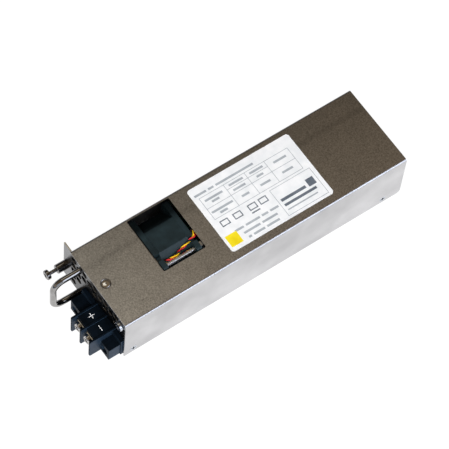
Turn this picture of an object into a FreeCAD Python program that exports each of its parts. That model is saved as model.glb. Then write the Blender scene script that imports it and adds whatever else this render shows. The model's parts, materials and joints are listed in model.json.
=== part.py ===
import FreeCAD, Part
import math
import os
import re
import Sketcher

# Plug-in power supply module of a router: a folded steel case with a perforated front,
# a fan that fills the case from floor to cover, and a circuit board that ends in a contact tongue.
# X runs from the flange side to the plain side, Y from the front to the rear, Z up.
# The origin is the centre of the case's underside.

doc = FreeCAD.newDocument("power_supply_module")

# Driving dimensions in millimetres
SIZES = {
    # case sheets
    "case_width": 60.8,
    "case_length": 210.4,
    "case_height": 40.2,
    "gauge": 1.0,
    "bend_radius": 1.6,
    "sheet_gap": 0.1,
    "wall_corner_radius": 3.0,
    "tray_lip": 8.0,
    # front panel and its fixing flange
    "panel_recess": 1.2,
    "panel_bottom": 0.1,
    "panel_headroom": 2.0,
    "flange_width": 8.0,
    "flange_height": 38.0,
    "tab_width": 18.0,
    "tab_length": 9.0,
    "foot_width": 10.0,
    "foot_from_middle": 20.0,
    # hexagonal grille
    "hex_pitch": 6.5,
    "hex_across": 5.2,
    "grille_first_column": 3.1,
    "grille_first_row": 31.6,
    "grille_edge": 1.2,
    # cover screw in its dimple
    "cover_screw_from_far_side": 29.9,
    "cover_screw_from_front": 6.4,
    "dimple_radius": 3.3,
    "dimple_depth": 1.9,
    "dimple_hole_radius": 1.65,
    "flat_head_radius": 2.5,
    "flat_recess_depth": 0.8,
    "flat_seat_gap": 0.1,
    "screw_radius": 1.5,
    "thread_gap": 0.05,
    # handle
    "handle_from_far_side": 12.0,
    "handle_upper": 35.2,
    "handle_lower": 7.0,
    "handle_reach": 20.7,
    "handle_bend": 7.0,
    "handle_radius": 2.1,
    "handle_stake": 0.8,
    # captive screw
    "captive_height": 17.2,
    "captive_from_case": 4.0,
    "barrel_radius": 3.05,
    "barrel_length": 8.1,
    "barrel_spigot_radius": 2.4,
    "barrel_mouth": 1.5,
    "barrel_bevel": 0.4,
    "barrel_bore_radius": 1.85,
    "neck_radius": 1.2,
    "neck_gap": 0.08,
    "captive_stroke": 4.9,
    "captive_stop_gap": 0.2,
    "captive_head_radius": 3.3,
    "captive_head_height": 2.6,
    "captive_ring_length": 0.8,
    # terminal block
    "terminal_from_far_side": 37.25,
    "terminal_pitch": 9.85,
    "terminal_half_length": 20.85,
    "pole_offset": 1.75,
    "terminal_bottom": 0.8,
    "terminal_deck": 17.6,
    "barrier_top": 18.6,
    "barrier_thickness": 1.4,
    "barrier_reach": 18.9,
    "terminal_seat": 11.7,
    "roof_reach": 14.7,
    "roof_thickness": 1.4,
    "ear_reach": 10.8,
    "ear_bottom": 1.3,
    "ear_top": 13.1,
    "ear_hole_height": 6.8,
    "ear_hole_from_end": 5.0,
    "ear_sink_gap": 0.35,
    "ear_sink_depth": 6.0,
    "base_plate_thickness": 2.5,
    "base_plate_margin": 0.7,
    "base_plate_bottom": 0.4,
    "barrier_corner": 1.0,
    "pole_hole_gap": 0.4,
    # terminal contacts, screws and clamps
    "pole_height": 11.8,
    "contact_side_gap": 0.3,
    "contact_top": 15.6,
    "contact_bottom": 4.0,
    "contact_thickness": 1.2,
    "tail_width": 4.0,
    "tail_reach": 6.0,
    "tail_drop": 6.2,
    "tail_clearance": 1.6,
    "terminal_screw_radius": 1.75,
    "terminal_screw_length": 9.5,
    "terminal_head_radius": 3.4,
    "terminal_head_height": 2.4,
    "terminal_head_bevel": 0.7,
    "terminal_recess_width": 1.1,
    "terminal_recess_length": 4.4,
    "clamp_side_gap": 0.35,
    "clamp_height": 7.4,
    "clamp_thickness": 1.0,
    "clamp_lip": 0.5,
    "clamp_lip_length": 4.0,
    "clamp_corner": 0.8,
    "clamp_lift": 1.6,
    # earth screw
    "earth_from_far_side": 55.6,
    "earth_height": 33.9,
    "earth_head_radius": 3.3,
    "earth_head_height": 2.5,
    "earth_washer_radius": 3.7,
    "earth_washer_thickness": 0.8,
    # small pan head fasteners
    "pan_radius": 2.75,
    "pan_height": 2.0,
    "nut_radius": 2.75,
    "nut_height": 2.4,
    "fastener_length": 8.0,
    "recess_width": 0.9,
    "recess_length": 3.4,
    "recess_depth": 1.2,
    # fan
    "fan_size": 40.0,
    "fan_depth": 28.0,
    "fan_from_far_side": 22.15,
    "fan_from_front": 41.1,
    "window_side_gap": 0.2,
    "window_front_gap": 0.9,
    "window_rear_gap": 1.9,
    "window_corner": 1.0,
    "fan_flange": 3.5,
    "fan_corner": 2.5,
    "fan_corner_cut": 12.0,
    "fan_body_inset": 0.3,
    "fan_rim": 1.2,
    "fan_bolt_inset": 4.0,
    "fan_bolt_hole": 1.7,
    "notch_from_side": 9.3,
    "notch_width": 4.2,
    "notch_depth": 3.4,
    "motor_radius": 9.6,
    "motor_plate": 2.5,
    "strut_width": 2.6,
    "strut_count": 4,
    "bearing_tube_radius": 3.9,
    "bearing_radius": 3.0,
    "bearing_length": 9.0,
    "bearing_tube_length": 15.0,
    "shaft_radius": 1.0,
    "running_gap": 0.04,
    # impeller
    "hub_radius": 10.2,
    "hub_wall": 0.9,
    "hub_length": 19.5,
    "hub_setback": 2.6,
    "hub_face": 1.6,
    "hub_bevel": 1.0,
    "boss_radius": 2.4,
    "boss_length": 4.0,
    "blade_tip_gap": 0.6,
    "blade_root_depth": 1.7,
    "blade_thickness": 1.1,
    "blade_root_sweep": 3.9,
    "blade_tip_sweep": 6.2,
    "blade_inset": 1.0,
    "blade_count": 7,
    "magnet_thickness": 0.8,
    "magnet_length": 12.0,
    "stator_length": 8.0,
    "stator_gap": 0.6,
    "slot_mouth": 1.2,
    "slot_top": 7.0,
    "slot_width": 4.4,
    "slot_floor": 2.8,
    "slot_bottom": 5.0,
    "coil_wire": 0.9,
    "coil_width": 7.8,
    "coil_bottom": 4.4,
    "coil_top": 5.2,
    # fan bracket
    "bracket_headroom": 2.0,
    "bracket_foot": 8.0,
    "bracket_lap": 1.8,
    "bracket_foot_width": 22.0,
    # wires
    "fan_lead_radius": 1.0,
    "lead_notch_bend": 8.0,
    "lead_drop_bend": 10.0,
    "lead_start_from_side": 6.85,
    "lead_start_from_top": 3.6,
    "lead_notch_from_top": 0.75,
    "lead_overrun": 0.5,
    "lead_drop": 9.0,
    # label
    "label_from_far_side": 4.5,
    "label_from_front": 82.3,
    "label_width": 50.1,
    "label_length": 76.4,
    "label_thickness": 0.12,
    "label_corner": 2.0,
    # rear panel
    "rear_recess": 1.0,
    "rear_grille_first_column": 7.9,
    "rear_grille_edge": 2.0,
    "tongue_slot_gap": 0.5,
    # circuit board
    "board_from_front": 78.0,
    "board_side_gap": 0.3,
    "board_height": 5.0,
    "board_thickness": 1.6,
    "tongue_width": 34.0,
    "tongue_reach": 8.2,
    "tongue_bevel": 0.8,
    "board_end_gap": 0.5,
    "standoff_radius": 2.5,
    "standoff_inset": 4.0,
    "standoff_front": 5.0,
    "standoff_rear": 125.0,
    "finger_width": 1.8,
    "finger_pitch": 2.8,
    "finger_length": 7.0,
    "finger_thickness": 0.08,
    "finger_count": 11,
    # parts on the board: place from the far side and from the board's front edge
    "header_from_far_side": 37.0,
    "header_from_edge": 5.0,
    "header_width": 8.0,
    "header_depth": 5.6,
    "header_height": 3.5,
    "header_wall": 0.8,
    "plug_height": 7.5,
    "choke_from_far_side": 18.0,
    "choke_from_edge": 17.0,
    "choke_outer": 10.0,
    "choke_inner": 5.6,
    "choke_height": 9.0,
    "choke_wire": 1.4,
    "choke_lift": 1.6,
    "bulk_from_far_side": 37.0,
    "bulk_from_edge": 16.0,
    "bulk_radius": 6.25,
    "bulk_height": 25.0,
    "bulk_pitch": 14.0,
    "primary_sink_from_far_side": 9.5,
    "primary_sink_from_edge": 34.0,
    "secondary_sink_from_far_side": 52.0,
    "secondary_sink_from_edge": 62.0,
    "sink_length": 46.0,
    "sink_height": 26.0,
    "sink_web": 2.6,
    "sink_fin_reach": 4.0,
    "sink_fin": 1.4,
    "sink_fin_pitch": 4.2,
    "sink_fin_count": 11,
    "package_width": 10.2,
    "package_thickness": 4.4,
    "package_height": 16.0,
    "package_lift": 5.0,
    "package_pitch": 14.0,
    "package_lead": 0.8,
    "package_lead_pitch": 2.54,
    "package_inset": 9.0,
    "transformer_from_far_side": 29.0,
    "transformer_from_edge": 61.0,
    "transformer_width": 26.0,
    "transformer_depth": 21.0,
    "transformer_height": 22.0,
    "core_leg": 3.6,
    "core_depth": 11.0,
    "output_from_far_side": 36.5,
    "output_from_edge": 97.0,
    "output_radius": 4.0,
    "output_height": 16.0,
    "output_pitch": 9.5,
    "chip_from_far_side": 30.0,
    "chip_from_edge": 113.0,
    "chip_width": 4.0,
    "chip_length": 6.2,
    "chip_height": 1.6,
    "chip_pitch": 9.0,
}

dims = doc.addObject("Spreadsheet::Sheet", "Dims")
for row, (alias, size) in enumerate(SIZES.items(), start=1):
    dims.set(f"A{row}", alias)
    dims.set(f"B{row}", str(size))
    dims.setAlias(f"B{row}", alias)
doc.recompute()

WORD = re.compile(r"[a-z_]+")
HEX_ACROSS_TO_RADIUS = 0.5773503
HEX_COLUMN_SHARE = 0.8660254
FULL_TURN = 360.0

# Places that several pieces share
FAR_SIDE = "(-case_width / 2)"
NEAR_SIDE = "(case_width / 2)"
WALL_INSIDE = "(case_width / 2 - gauge)"
CASE_FRONT = "(-case_length / 2)"
CASE_REAR = "(case_length / 2)"
COVER_INSIDE = "(case_height - gauge)"
PANEL_FRONT = f"({CASE_FRONT} + panel_recess)"
PANEL_BACK = f"({PANEL_FRONT} + gauge)"
PANEL_TOP = "(case_height - panel_headroom)"
REAR_BACK = f"({CASE_REAR} - rear_recess)"
REAR_FACE = f"({REAR_BACK} - gauge)"
FAN_X = f"({FAR_SIDE} + fan_from_far_side)"
FAN_Z = "(case_height / 2)"
FAN_FRONT = f"({CASE_FRONT} + fan_from_front)"
FAN_BACK = f"({FAN_FRONT} + fan_depth)"
HALF_FAN = "(fan_size / 2)"
FAN_BORE = f"({HALF_FAN} - fan_rim)"
BLADE_TIP = f"({FAN_BORE} - blade_tip_gap)"
NOTCH_OFFSET = f"({HALF_FAN} - notch_from_side)"
WINDOW_SIDES = (
    f"({FAN_X} - {HALF_FAN} - window_side_gap)",
    f"({FAN_X} + {HALF_FAN} + window_side_gap)",
)
WINDOW_ENDS = (f"({FAN_FRONT} - window_front_gap)", f"({FAN_BACK} + window_rear_gap)")
COVER_SCREW_X = f"({FAR_SIDE} + cover_screw_from_far_side)"
COVER_SCREW_Y = f"({CASE_FRONT} + cover_screw_from_front)"
HANDLE_X = f"({FAR_SIDE} + handle_from_far_side)"
CAPTIVE_X = f"({FAR_SIDE} - captive_from_case)"
TERMINAL_X = f"({FAR_SIDE} + terminal_from_far_side)"
POLE_MIDDLE = f"({TERMINAL_X} + pole_offset)"
POLES = {
    "positive": f"({POLE_MIDDLE} - terminal_pitch / 2)",
    "negative": f"({POLE_MIDDLE} + terminal_pitch / 2)",
}
SEAT = f"({PANEL_FRONT} - terminal_seat)"
EAR_HOLES = [f"({TERMINAL_X} {sign} (terminal_half_length - ear_hole_from_end))" for sign in "-+"]
EARTH_X = f"({FAR_SIDE} + earth_from_far_side)"
BOARD_FRONT = f"({CASE_FRONT} + board_from_front)"
BOARD_TOP = "(board_height + board_thickness)"

NODES = {}


def cells(expression):
    """Names of sizes become references to the sheet's cells."""
    def reference(word):
        return "Dims." + word.group() if word.group() in SIZES else word.group()

    return WORD.sub(reference, expression)


def value(expression):
    """The number that an expression of sizes comes to."""
    numbers = WORD.sub(lambda word: str(getattr(dims, word.group())), expression)
    return FreeCAD.Units.parseQuantity(numbers).Value


def bind(item, **expressions):
    for name, expression in expressions.items():
        item.setExpression(name, cells(expression))


def place(item, x="0", y="0", z="0"):
    for axis, expression in zip("xyz", (x, y, z)):
        item.setExpression("Placement.Base." + axis, cells(expression))
    return item


def node(name, item):
    """A finished sub-part, whose label names its file."""
    item.Label = name
    NODES[name] = item
    return item


# Sketches and features

PLANES = {"XY": ("XY_Plane", 1), "XZ": ("XZ_Plane", -1), "YZ": ("YZ_Plane", 1)}
CENTRE = (-1, 1)
START, END, MIDDLE = 1, 2, 3


def new_body(name):
    return doc.addObject("PartDesign::Body", name)


def origin_feature(body, role):
    return next(feature for feature in body.Origin.OriginFeatures if feature.Role == role)


def new_sketch(body, plane, level="0", shift="0"):
    """A sketch parallel to an origin plane, at a level along the third axis."""
    role, sense = PLANES[plane]
    sketch = body.newObject("Sketcher::SketchObject", body.Name + "_sketch")
    sketch.AttachmentSupport = [(origin_feature(body, role), "")]
    sketch.MapMode = "FlatFace"
    bind(sketch, **{"AttachmentOffset.Base.z": f"{sense} * ({level})", "AttachmentOffset.Base.x": shift})
    return sketch


def pin_point(sketch, geometry, point, u, v):
    for kind, expression in (("DistanceX", u), ("DistanceY", v)):
        index = sketch.addConstraint(Sketcher.Constraint(kind, *CENTRE, geometry, point, value(expression)))
        sketch.setExpression(f"Constraints[{index}]", cells(expression))


def draw_polygon(sketch, corners):
    first = sketch.GeometryCount
    count = len(corners)
    points = [FreeCAD.Vector(value(u), value(v), 0) for u, v in corners]
    for index in range(count):
        sketch.addGeometry(Part.LineSegment(points[index], points[(index + 1) % count]))
    for index in range(count):
        after = first + (index + 1) % count
        sketch.addConstraint(Sketcher.Constraint("Coincident", first + index, END, after, START))
    for index, (u, v) in enumerate(corners):
        pin_point(sketch, first + index, START, u, v)


def draw_disc(sketch, u, v, radius):
    centre = FreeCAD.Vector(value(u), value(v), 0)
    circle = sketch.addGeometry(Part.Circle(centre, FreeCAD.Vector(0, 0, 1), value(radius)))
    pin_point(sketch, circle, MIDDLE, u, v)
    index = sketch.addConstraint(Sketcher.Constraint("Radius", circle, value(radius)))
    sketch.setExpression(f"Constraints[{index}]", cells(radius))


def draw(sketch, outlines):
    """An outline is a list of corners, or a tuple (u, v, radius) for a disc."""
    for outline in outlines:
        if isinstance(outline, tuple):
            draw_disc(sketch, *outline)
        else:
            draw_polygon(sketch, outline)


def rectangle(u, v):
    """Corners of a rectangle between two pairs of limits."""
    return [(u[0], v[0]), (u[1], v[0]), (u[1], v[1]), (u[0], v[1])]


def around(middle, width):
    """Limits of a width about a middle."""
    return f"({middle} - {width} / 2)", f"({middle} + {width} / 2)"


def pad(body, plane, outlines, limits):
    """Material between two limits along the plane's normal axis."""
    sketch = new_sketch(body, plane, limits[0])
    draw(sketch, outlines)
    feature = body.newObject("PartDesign::Pad", body.Name + "_pad")
    feature.Profile = sketch
    feature.Reversed = PLANES[plane][1] < 0
    bind(feature, Length=f"{limits[1]} - {limits[0]}")
    return feature


def pocket(body, plane, outlines, limits):
    """A cut between two limits along the plane's normal axis."""
    sketch = new_sketch(body, plane, limits[0] if PLANES[plane][1] < 0 else limits[1])
    draw(sketch, outlines)
    feature = body.newObject("PartDesign::Pocket", body.Name + "_pocket")
    feature.Profile = sketch
    bind(feature, Length=f"{limits[1]} - {limits[0]}")
    return feature


def spin(body, axis, corners, kind="Revolution", angle=FULL_TURN, shift="0", level="0"):
    """A profile of (radius, place along the axis) corners turned about the Y or Z axis."""
    sketch = new_sketch(body, "XY" if axis == "Y" else "XZ", level, shift)
    draw(sketch, corners if isinstance(corners[0], list) else [corners])
    feature = body.newObject("PartDesign::" + kind, body.Name + "_turned")
    feature.Profile = sketch
    feature.ReferenceAxis = (sketch, ["V_Axis"])
    feature.Angle = angle
    return feature


def turned(name, axis, corners, x="0", y="0", z="0"):
    body = new_body(name)
    spin(body, axis, corners)
    return place(body, x, y, z)


def polar(body, features, axis, count):
    pattern = body.newObject("PartDesign::PolarPattern", body.Name + "_pattern")
    pattern.Originals = features
    pattern.Axis = (origin_feature(body, axis + "_Axis"), [""])
    pattern.Angle = FULL_TURN
    bind(pattern, Occurrences=count)
    body.Tip = pattern
    return pattern


ALONG_AXIS = 0.999
SAME_PLACE = 0.01


def edges(feature, along, **at):
    """Names of the straight edges along an axis whose middle has the given coordinates."""
    doc.recompute()
    names = []
    for index, edge in enumerate(feature.Shape.Edges, start=1):
        middle = edge.CenterOfMass
        if edge.Curve.TypeId != "Part::GeomLine" or abs(getattr(edge.Curve.Direction, along)) < ALONG_AXIS:
            continue
        misses = [
            min(abs(getattr(middle, axis) - value(spot)) for spot in spots)
            for axis, spots in at.items()
        ]
        if max(misses) < SAME_PLACE:
            names.append(f"Edge{index}")
    return names


def dress(body, kind, feature, names, size):
    """A fillet or chamfer on named edges."""
    finish = body.newObject("PartDesign::" + kind, body.Name + "_" + kind.lower())
    finish.Base = (feature, names)
    bind(finish, **{"Radius" if kind == "Fillet" else "Size": size})
    return finish


# Primitives and booleans

TURNS = {
    "X": FreeCAD.Rotation(FreeCAD.Vector(0, 1, 0), 90),
    "Y": FreeCAD.Rotation(FreeCAD.Vector(1, 0, 0), -90),
    "Z": FreeCAD.Rotation(),
}


def block(name, x, y, z):
    item = doc.addObject("Part::Box", name + "_block")
    bind(item, Length=f"{x[1]} - {x[0]}", Width=f"{y[1]} - {y[0]}", Height=f"{z[1]} - {z[0]}")
    return place(item, x[0], y[0], z[0])


def rod(name, axis, radius, start, length):
    """A cylinder from a start point along an axis."""
    item = doc.addObject("Part::Cylinder", name + "_rod")
    item.Placement.Rotation = TURNS[axis]
    bind(item, Radius=radius, Height=length)
    return place(item, *start)


def hexagon(name, axis, across, start, length):
    """A six-sided bar from a start point along an axis."""
    item = doc.addObject("Part::Prism", name + "_hexagon")
    item.Polygon = 6
    item.Placement.Rotation = TURNS[axis]
    bind(item, Circumradius=f"{across} * {HEX_ACROSS_TO_RADIUS}", Height=length)
    return place(item, *start)


def fuse(name, items):
    item = doc.addObject("Part::MultiFuse", name + "_fuse")
    item.Shapes = items
    return item


def group(name, items):
    item = doc.addObject("Part::Compound", name + "_group")
    item.Links = items
    return item


def cut(name, base, tools):
    item = doc.addObject("Part::Cut", name + "_cut")
    item.Base = base
    item.Tool = tools[0] if len(tools) == 1 else group(name + "_tools", tools)
    return item


def cross_outline(width, length):
    """Corners of a cross recess centred on the sketch's origin."""
    side, end = f"{width} / 2", f"{length} / 2"
    quarter = [(side, end), (side, side), (end, side)]
    signs = [("", ""), ("", "-"), ("-", "-"), ("-", "")]
    corners = []
    for turn, (sign_u, sign_v) in enumerate(signs):
        step = quarter if turn % 2 == 0 else quarter[::-1]
        corners += [(f"{sign_u}({u})", f"{sign_v}({v})") for u, v in step]
    return corners


# Top cover: one sheet folded into an inverted U, with the fan window and the screw dimple

cover = new_body("cover")
cover_profile = [
    (FAR_SIDE, "0"),
    (FAR_SIDE, "case_height"),
    (NEAR_SIDE, "case_height"),
    (NEAR_SIDE, "0"),
    (WALL_INSIDE, "0"),
    (WALL_INSIDE, COVER_INSIDE),
    (f"-{WALL_INSIDE}", COVER_INSIDE),
    (f"-{WALL_INSIDE}", "0"),
]
cover_sheet = pad(cover, "XZ", [cover_profile], (CASE_FRONT, CASE_REAR))
outer_bends = edges(cover_sheet, "y", x=[FAR_SIDE, NEAR_SIDE], z=["case_height"])
cover_bends = dress(cover, "Fillet", cover_sheet, outer_bends, "bend_radius")
inner_bends = edges(cover_bends, "y", x=[WALL_INSIDE, f"-{WALL_INSIDE}"], z=[COVER_INSIDE])
cover_folds = dress(cover, "Fillet", cover_bends, inner_bends, "bend_radius - gauge")
wall_corners = edges(cover_folds, "x", y=[CASE_REAR], z=["0"])
cover_corners = dress(cover, "Fillet", cover_folds, wall_corners, "wall_corner_radius")
flange_gap_end = f"({PANEL_BACK} + sheet_gap)"
flange_gap = rectangle((CASE_FRONT, flange_gap_end), ("0", "flange_height + sheet_gap"))
pocket(cover, "YZ", [flange_gap], (FAR_SIDE, f"-{WALL_INSIDE}"))
window = rectangle(WINDOW_SIDES, WINDOW_ENDS)
cover_window = pocket(cover, "XY", [window], (COVER_INSIDE, "case_height"))
window_corners = edges(cover_window, "z", x=WINDOW_SIDES, y=WINDOW_ENDS)
dress(cover, "Fillet", cover_window, window_corners, "window_corner")
dimple_bottom = "(case_height - dimple_depth)"
dimple_wall = [
    ("dimple_hole_radius", f"{COVER_INSIDE} + gauge / 2"),
    ("dimple_radius + gauge", f"{COVER_INSIDE} + gauge / 2"),
    ("dimple_radius + gauge", COVER_INSIDE),
    ("dimple_hole_radius + gauge", dimple_bottom),
    ("dimple_hole_radius", dimple_bottom),
]
spin(cover, "Z", dimple_wall, shift=COVER_SCREW_X, level=COVER_SCREW_Y)
dimple_hollow = [
    ("0", "case_height"),
    ("dimple_radius", "case_height"),
    ("dimple_hole_radius", f"{dimple_bottom} + gauge / 2"),
    ("dimple_hole_radius", dimple_bottom),
    ("0", dimple_bottom),
]
spin(cover, "Z", dimple_hollow, kind="Groove", shift=COVER_SCREW_X, level=COVER_SCREW_Y)
node("top_cover", cover)

# Base tray: the floor with low side lips and a rear wall folded up, open under the fan

tray = new_body("tray")
tray_side = f"({WALL_INSIDE} - sheet_gap)"
tray_inside = f"({tray_side} - gauge)"
tray_profile = [
    (f"-{tray_side}", "0"),
    (tray_side, "0"),
    (tray_side, "tray_lip"),
    (tray_inside, "tray_lip"),
    (tray_inside, "gauge"),
    (f"-{tray_inside}", "gauge"),
    (f"-{tray_inside}", "tray_lip"),
    (f"-{tray_side}", "tray_lip"),
]
tray_sheet = pad(tray, "XZ", [tray_profile], (flange_gap_end, REAR_BACK))
tray_edges = edges(tray_sheet, "y", x=[f"-{tray_side}", tray_side], z=["0"])
dress(tray, "Fillet", tray_sheet, tray_edges, "bend_radius - gauge")
pocket(tray, "XY", [window], ("0", "tray_lip"))
rear_wall = rectangle((f"-{tray_inside}", tray_inside), ("0", f"({COVER_INSIDE} - sheet_gap)"))
pad(tray, "XZ", [rear_wall], (REAR_FACE, REAR_BACK))
tongue_slot = rectangle(around("0", "(tongue_width + 2 * tongue_slot_gap)"),
                        ("(board_height - tongue_slot_gap)", f"({BOARD_TOP} + tongue_slot_gap)"))
pocket(tray, "XZ", [tongue_slot], (REAR_FACE, REAR_BACK))

# Front panel: a flat sheet with a bent tab for the cover screw, two feet on the floor and a side flange

panel = new_body("panel")
panel_outline = [
    (f"{FAR_SIDE} - flange_width", "panel_bottom"),
    (f"{FAR_SIDE} - flange_width", "flange_height"),
    (f"-{tray_side}", "flange_height"),
    (f"-{tray_side}", PANEL_TOP),
    (tray_side, PANEL_TOP),
    (tray_side, "panel_bottom"),
]
pad(panel, "XZ", [panel_outline], (PANEL_FRONT, PANEL_BACK))
tab_end = f"({PANEL_BACK} + tab_length)"
tab_outline = rectangle(around(COVER_SCREW_X, "tab_width"), (PANEL_FRONT, tab_end))
pad(panel, "XY", [tab_outline], (f"({PANEL_TOP} - gauge)", PANEL_TOP))
feet = [
    rectangle(around(f"{sign} foot_from_middle", "foot_width"), (PANEL_FRONT, tab_end))
    for sign in ("-", "")
]
pad(panel, "XY", feet, ("gauge", "(2 * gauge)"))
tab_hole = (COVER_SCREW_X, COVER_SCREW_Y, "screw_radius + thread_gap")
pocket(panel, "XY", [tab_hole], (f"({PANEL_TOP} - gauge)", PANEL_TOP))
panel_holes = [
    (CAPTIVE_X, "captive_height", "barrel_spigot_radius"),
    (HANDLE_X, "handle_upper", "screw_radius + thread_gap"),
    (HANDLE_X, "handle_lower", "screw_radius + thread_gap"),
    (EARTH_X, "earth_height", "screw_radius + thread_gap"),
]
panel_holes += [(hole, "ear_hole_height", "screw_radius + thread_gap") for hole in EAR_HOLES]
tail_gates = [
    rectangle(around(pole, "(tail_width + 2 * tail_clearance)"),
              around("tail_drop", "(contact_thickness + 2 * tail_clearance)"))
    for pole in POLES.values()
]
pocket(panel, "XZ", panel_holes + tail_gates, (PANEL_FRONT, PANEL_BACK))


def grille(name, first_column, first_row, columns, rows, front, is_free):
    """Staggered hexagonal bars that punch a sheet, left out where is_free says no."""
    bars = []
    for column in range(columns):
        x = f"({FAR_SIDE} + {first_column} + {column} * {HEX_COLUMN_SHARE} * hex_pitch)"
        for row in range(rows):
            z = f"({first_row} - {row + 0.5 * (column % 2)} * hex_pitch)"
            if is_free(value(x), value(z)):
                bars.append(hexagon(name, "Y", "hex_across", (x, f"({front} - gauge)", z), "3 * gauge"))
    return bars


def fitting_count(first, last, step):
    """How many holes fit between two places."""
    return int((value(last) - value(first)) / value(step)) + 1


def clear_of(x, z, spot_x, spot_z, reach):
    return (x - value(spot_x)) ** 2 + (z - value(spot_z)) ** 2 > (value("hex_across / 2") + value(reach)) ** 2


def front_hole_is_free(x, z):
    margin = value("hex_across / 2 + grille_edge")
    inside = x + margin < value(tray_side) and margin < z < value(PANEL_TOP) - margin
    block_start = value(f"{TERMINAL_X} - terminal_half_length")
    over_block = z > value("barrier_top") + margin or x + margin < block_start
    return (inside and over_block
            and clear_of(x, z, HANDLE_X, "handle_upper", "screw_radius")
            and clear_of(x, z, HANDLE_X, "handle_lower", "screw_radius")
            and clear_of(x, z, EARTH_X, "earth_height", "earth_washer_radius"))


column_count = fitting_count("grille_first_column", "case_width", f"{HEX_COLUMN_SHARE} * hex_pitch")
row_count = fitting_count("0", "grille_first_row", "hex_pitch")
front_holes = grille("front", "grille_first_column", "grille_first_row", column_count, row_count,
                     PANEL_FRONT, front_hole_is_free)
node("front_panel", cut("panel", panel, front_holes))


def rear_hole_is_free(x, z):
    margin = value("hex_across / 2 + rear_grille_edge")
    between = value(BOARD_TOP) + 2 * margin < z < value(COVER_INSIDE) - margin
    return between and abs(x) + margin < value(tray_inside)


rear_holes = grille("rear", "rear_grille_first_column", "grille_first_row", column_count, row_count,
                    REAR_FACE, rear_hole_is_free)
node("base_tray", cut("tray", tray, rear_holes))

# Handle: a round bar bent twice, with a spigot at each end staked behind the panel

handle = new_body("handle_bar")
handle_end = f"({PANEL_FRONT} - handle_reach)"
bend_start = f"({handle_end} + handle_bend)"
upper_turn = "(handle_upper - handle_bend)"
lower_turn = "(handle_lower + handle_bend)"
handle_path = new_sketch(handle, "YZ", HANDLE_X)
runs = [
    ((PANEL_FRONT, "handle_upper"), (bend_start, "handle_upper")),
    ((handle_end, upper_turn), (handle_end, lower_turn)),
    ((bend_start, "handle_lower"), (PANEL_FRONT, "handle_lower")),
]
for start, end in runs:
    points = [FreeCAD.Vector(value(u), value(v), 0) for u, v in (start, end)]
    line = handle_path.addGeometry(Part.LineSegment(*points))
    pin_point(handle_path, line, START, *start)
    pin_point(handle_path, line, END, *end)
RIGHT_ANGLE = 1.5707963
for first, turn, begin in ((0, upper_turn, RIGHT_ANGLE), (1, lower_turn, 2 * RIGHT_ANGLE)):
    centre = FreeCAD.Vector(value(bend_start), value(turn), 0)
    circle = Part.Circle(centre, FreeCAD.Vector(0, 0, 1), value("handle_bend"))
    arc = handle_path.addGeometry(Part.ArcOfCircle(circle, begin, begin + RIGHT_ANGLE))
    handle_path.addConstraint(Sketcher.Constraint("Coincident", first, END, arc, START))
    handle_path.addConstraint(Sketcher.Constraint("Coincident", arc, END, first + 1, START))
    index = handle_path.addConstraint(Sketcher.Constraint("Radius", arc, value("handle_bend")))
    handle_path.setExpression(f"Constraints[{index}]", cells("handle_bend"))
handle_section = new_sketch(handle, "XZ", PANEL_FRONT)
draw(handle_section, [(HANDLE_X, "handle_upper", "handle_radius")])
handle_pipe = handle.newObject("PartDesign::AdditivePipe", "handle_pipe")
handle_pipe.Profile = handle_section
handle_pipe.Spine = handle_path
spigots = [(HANDLE_X, height, "screw_radius") for height in ("handle_upper", "handle_lower")]
pad(handle, "XZ", spigots, (PANEL_FRONT, f"({PANEL_BACK} + handle_stake)"))
node("handle", handle)


def pan_screw(name, axis, sense, x, y, z, length, head_radius="pan_radius", head_height="pan_height"):
    """A pan head screw along Y or Z: its head stands on the seat, on the side that sense gives."""
    profile = [
        ("0", f"{sense}({head_height})"),
        (head_radius, f"{sense}({head_height})"),
        (head_radius, "0"),
        ("screw_radius", "0"),
        ("screw_radius", f"-({sense}({length}))"),
        ("0", f"-({sense}({length}))"),
    ]
    return turned(name, axis, profile, x, y, z)


def hex_nut(name, x, y, z):
    """A nut on a screw along Y, standing on the seat y."""
    bar = hexagon(name, "Y", "2 * nut_radius", (x, y, z), "nut_height")
    bore = rod(name, "Y", "screw_radius + thread_gap", (x, f"{y} - gauge", z), "nut_height + 2 * gauge")
    return cut(name, bar, [bore])


# Captive screw of the flange: a pressed-in barrel, a ring that keeps the screw, and the screw drawn out

barrel_profile = [
    ("neck_radius + neck_gap", "-barrel_length"),
    ("barrel_radius - barrel_bevel", "-barrel_length"),
    ("barrel_radius", "-barrel_length + barrel_bevel"),
    ("barrel_radius", "0"),
    ("barrel_spigot_radius", "0"),
    ("barrel_spigot_radius", "gauge"),
    ("barrel_bore_radius", "gauge"),
    ("barrel_bore_radius", "-barrel_length + barrel_mouth"),
    ("neck_radius + neck_gap", "-barrel_length + barrel_mouth"),
]
node("captive_screw_barrel", turned("barrel", "Y", barrel_profile, CAPTIVE_X, PANEL_FRONT, "captive_height"))

ring_front = "(-barrel_length + barrel_mouth + captive_stop_gap)"
ring_back = f"({ring_front} + captive_ring_length)"
ring_sides = ("neck_radius + running_gap", "barrel_bore_radius - neck_gap")
ring_profile = rectangle(ring_sides, (ring_front, ring_back))
captive_ring = turned("captive_ring", "Y", ring_profile, CAPTIVE_X, PANEL_FRONT, "captive_height")
node("captive_screw_ring", captive_ring)

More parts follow.
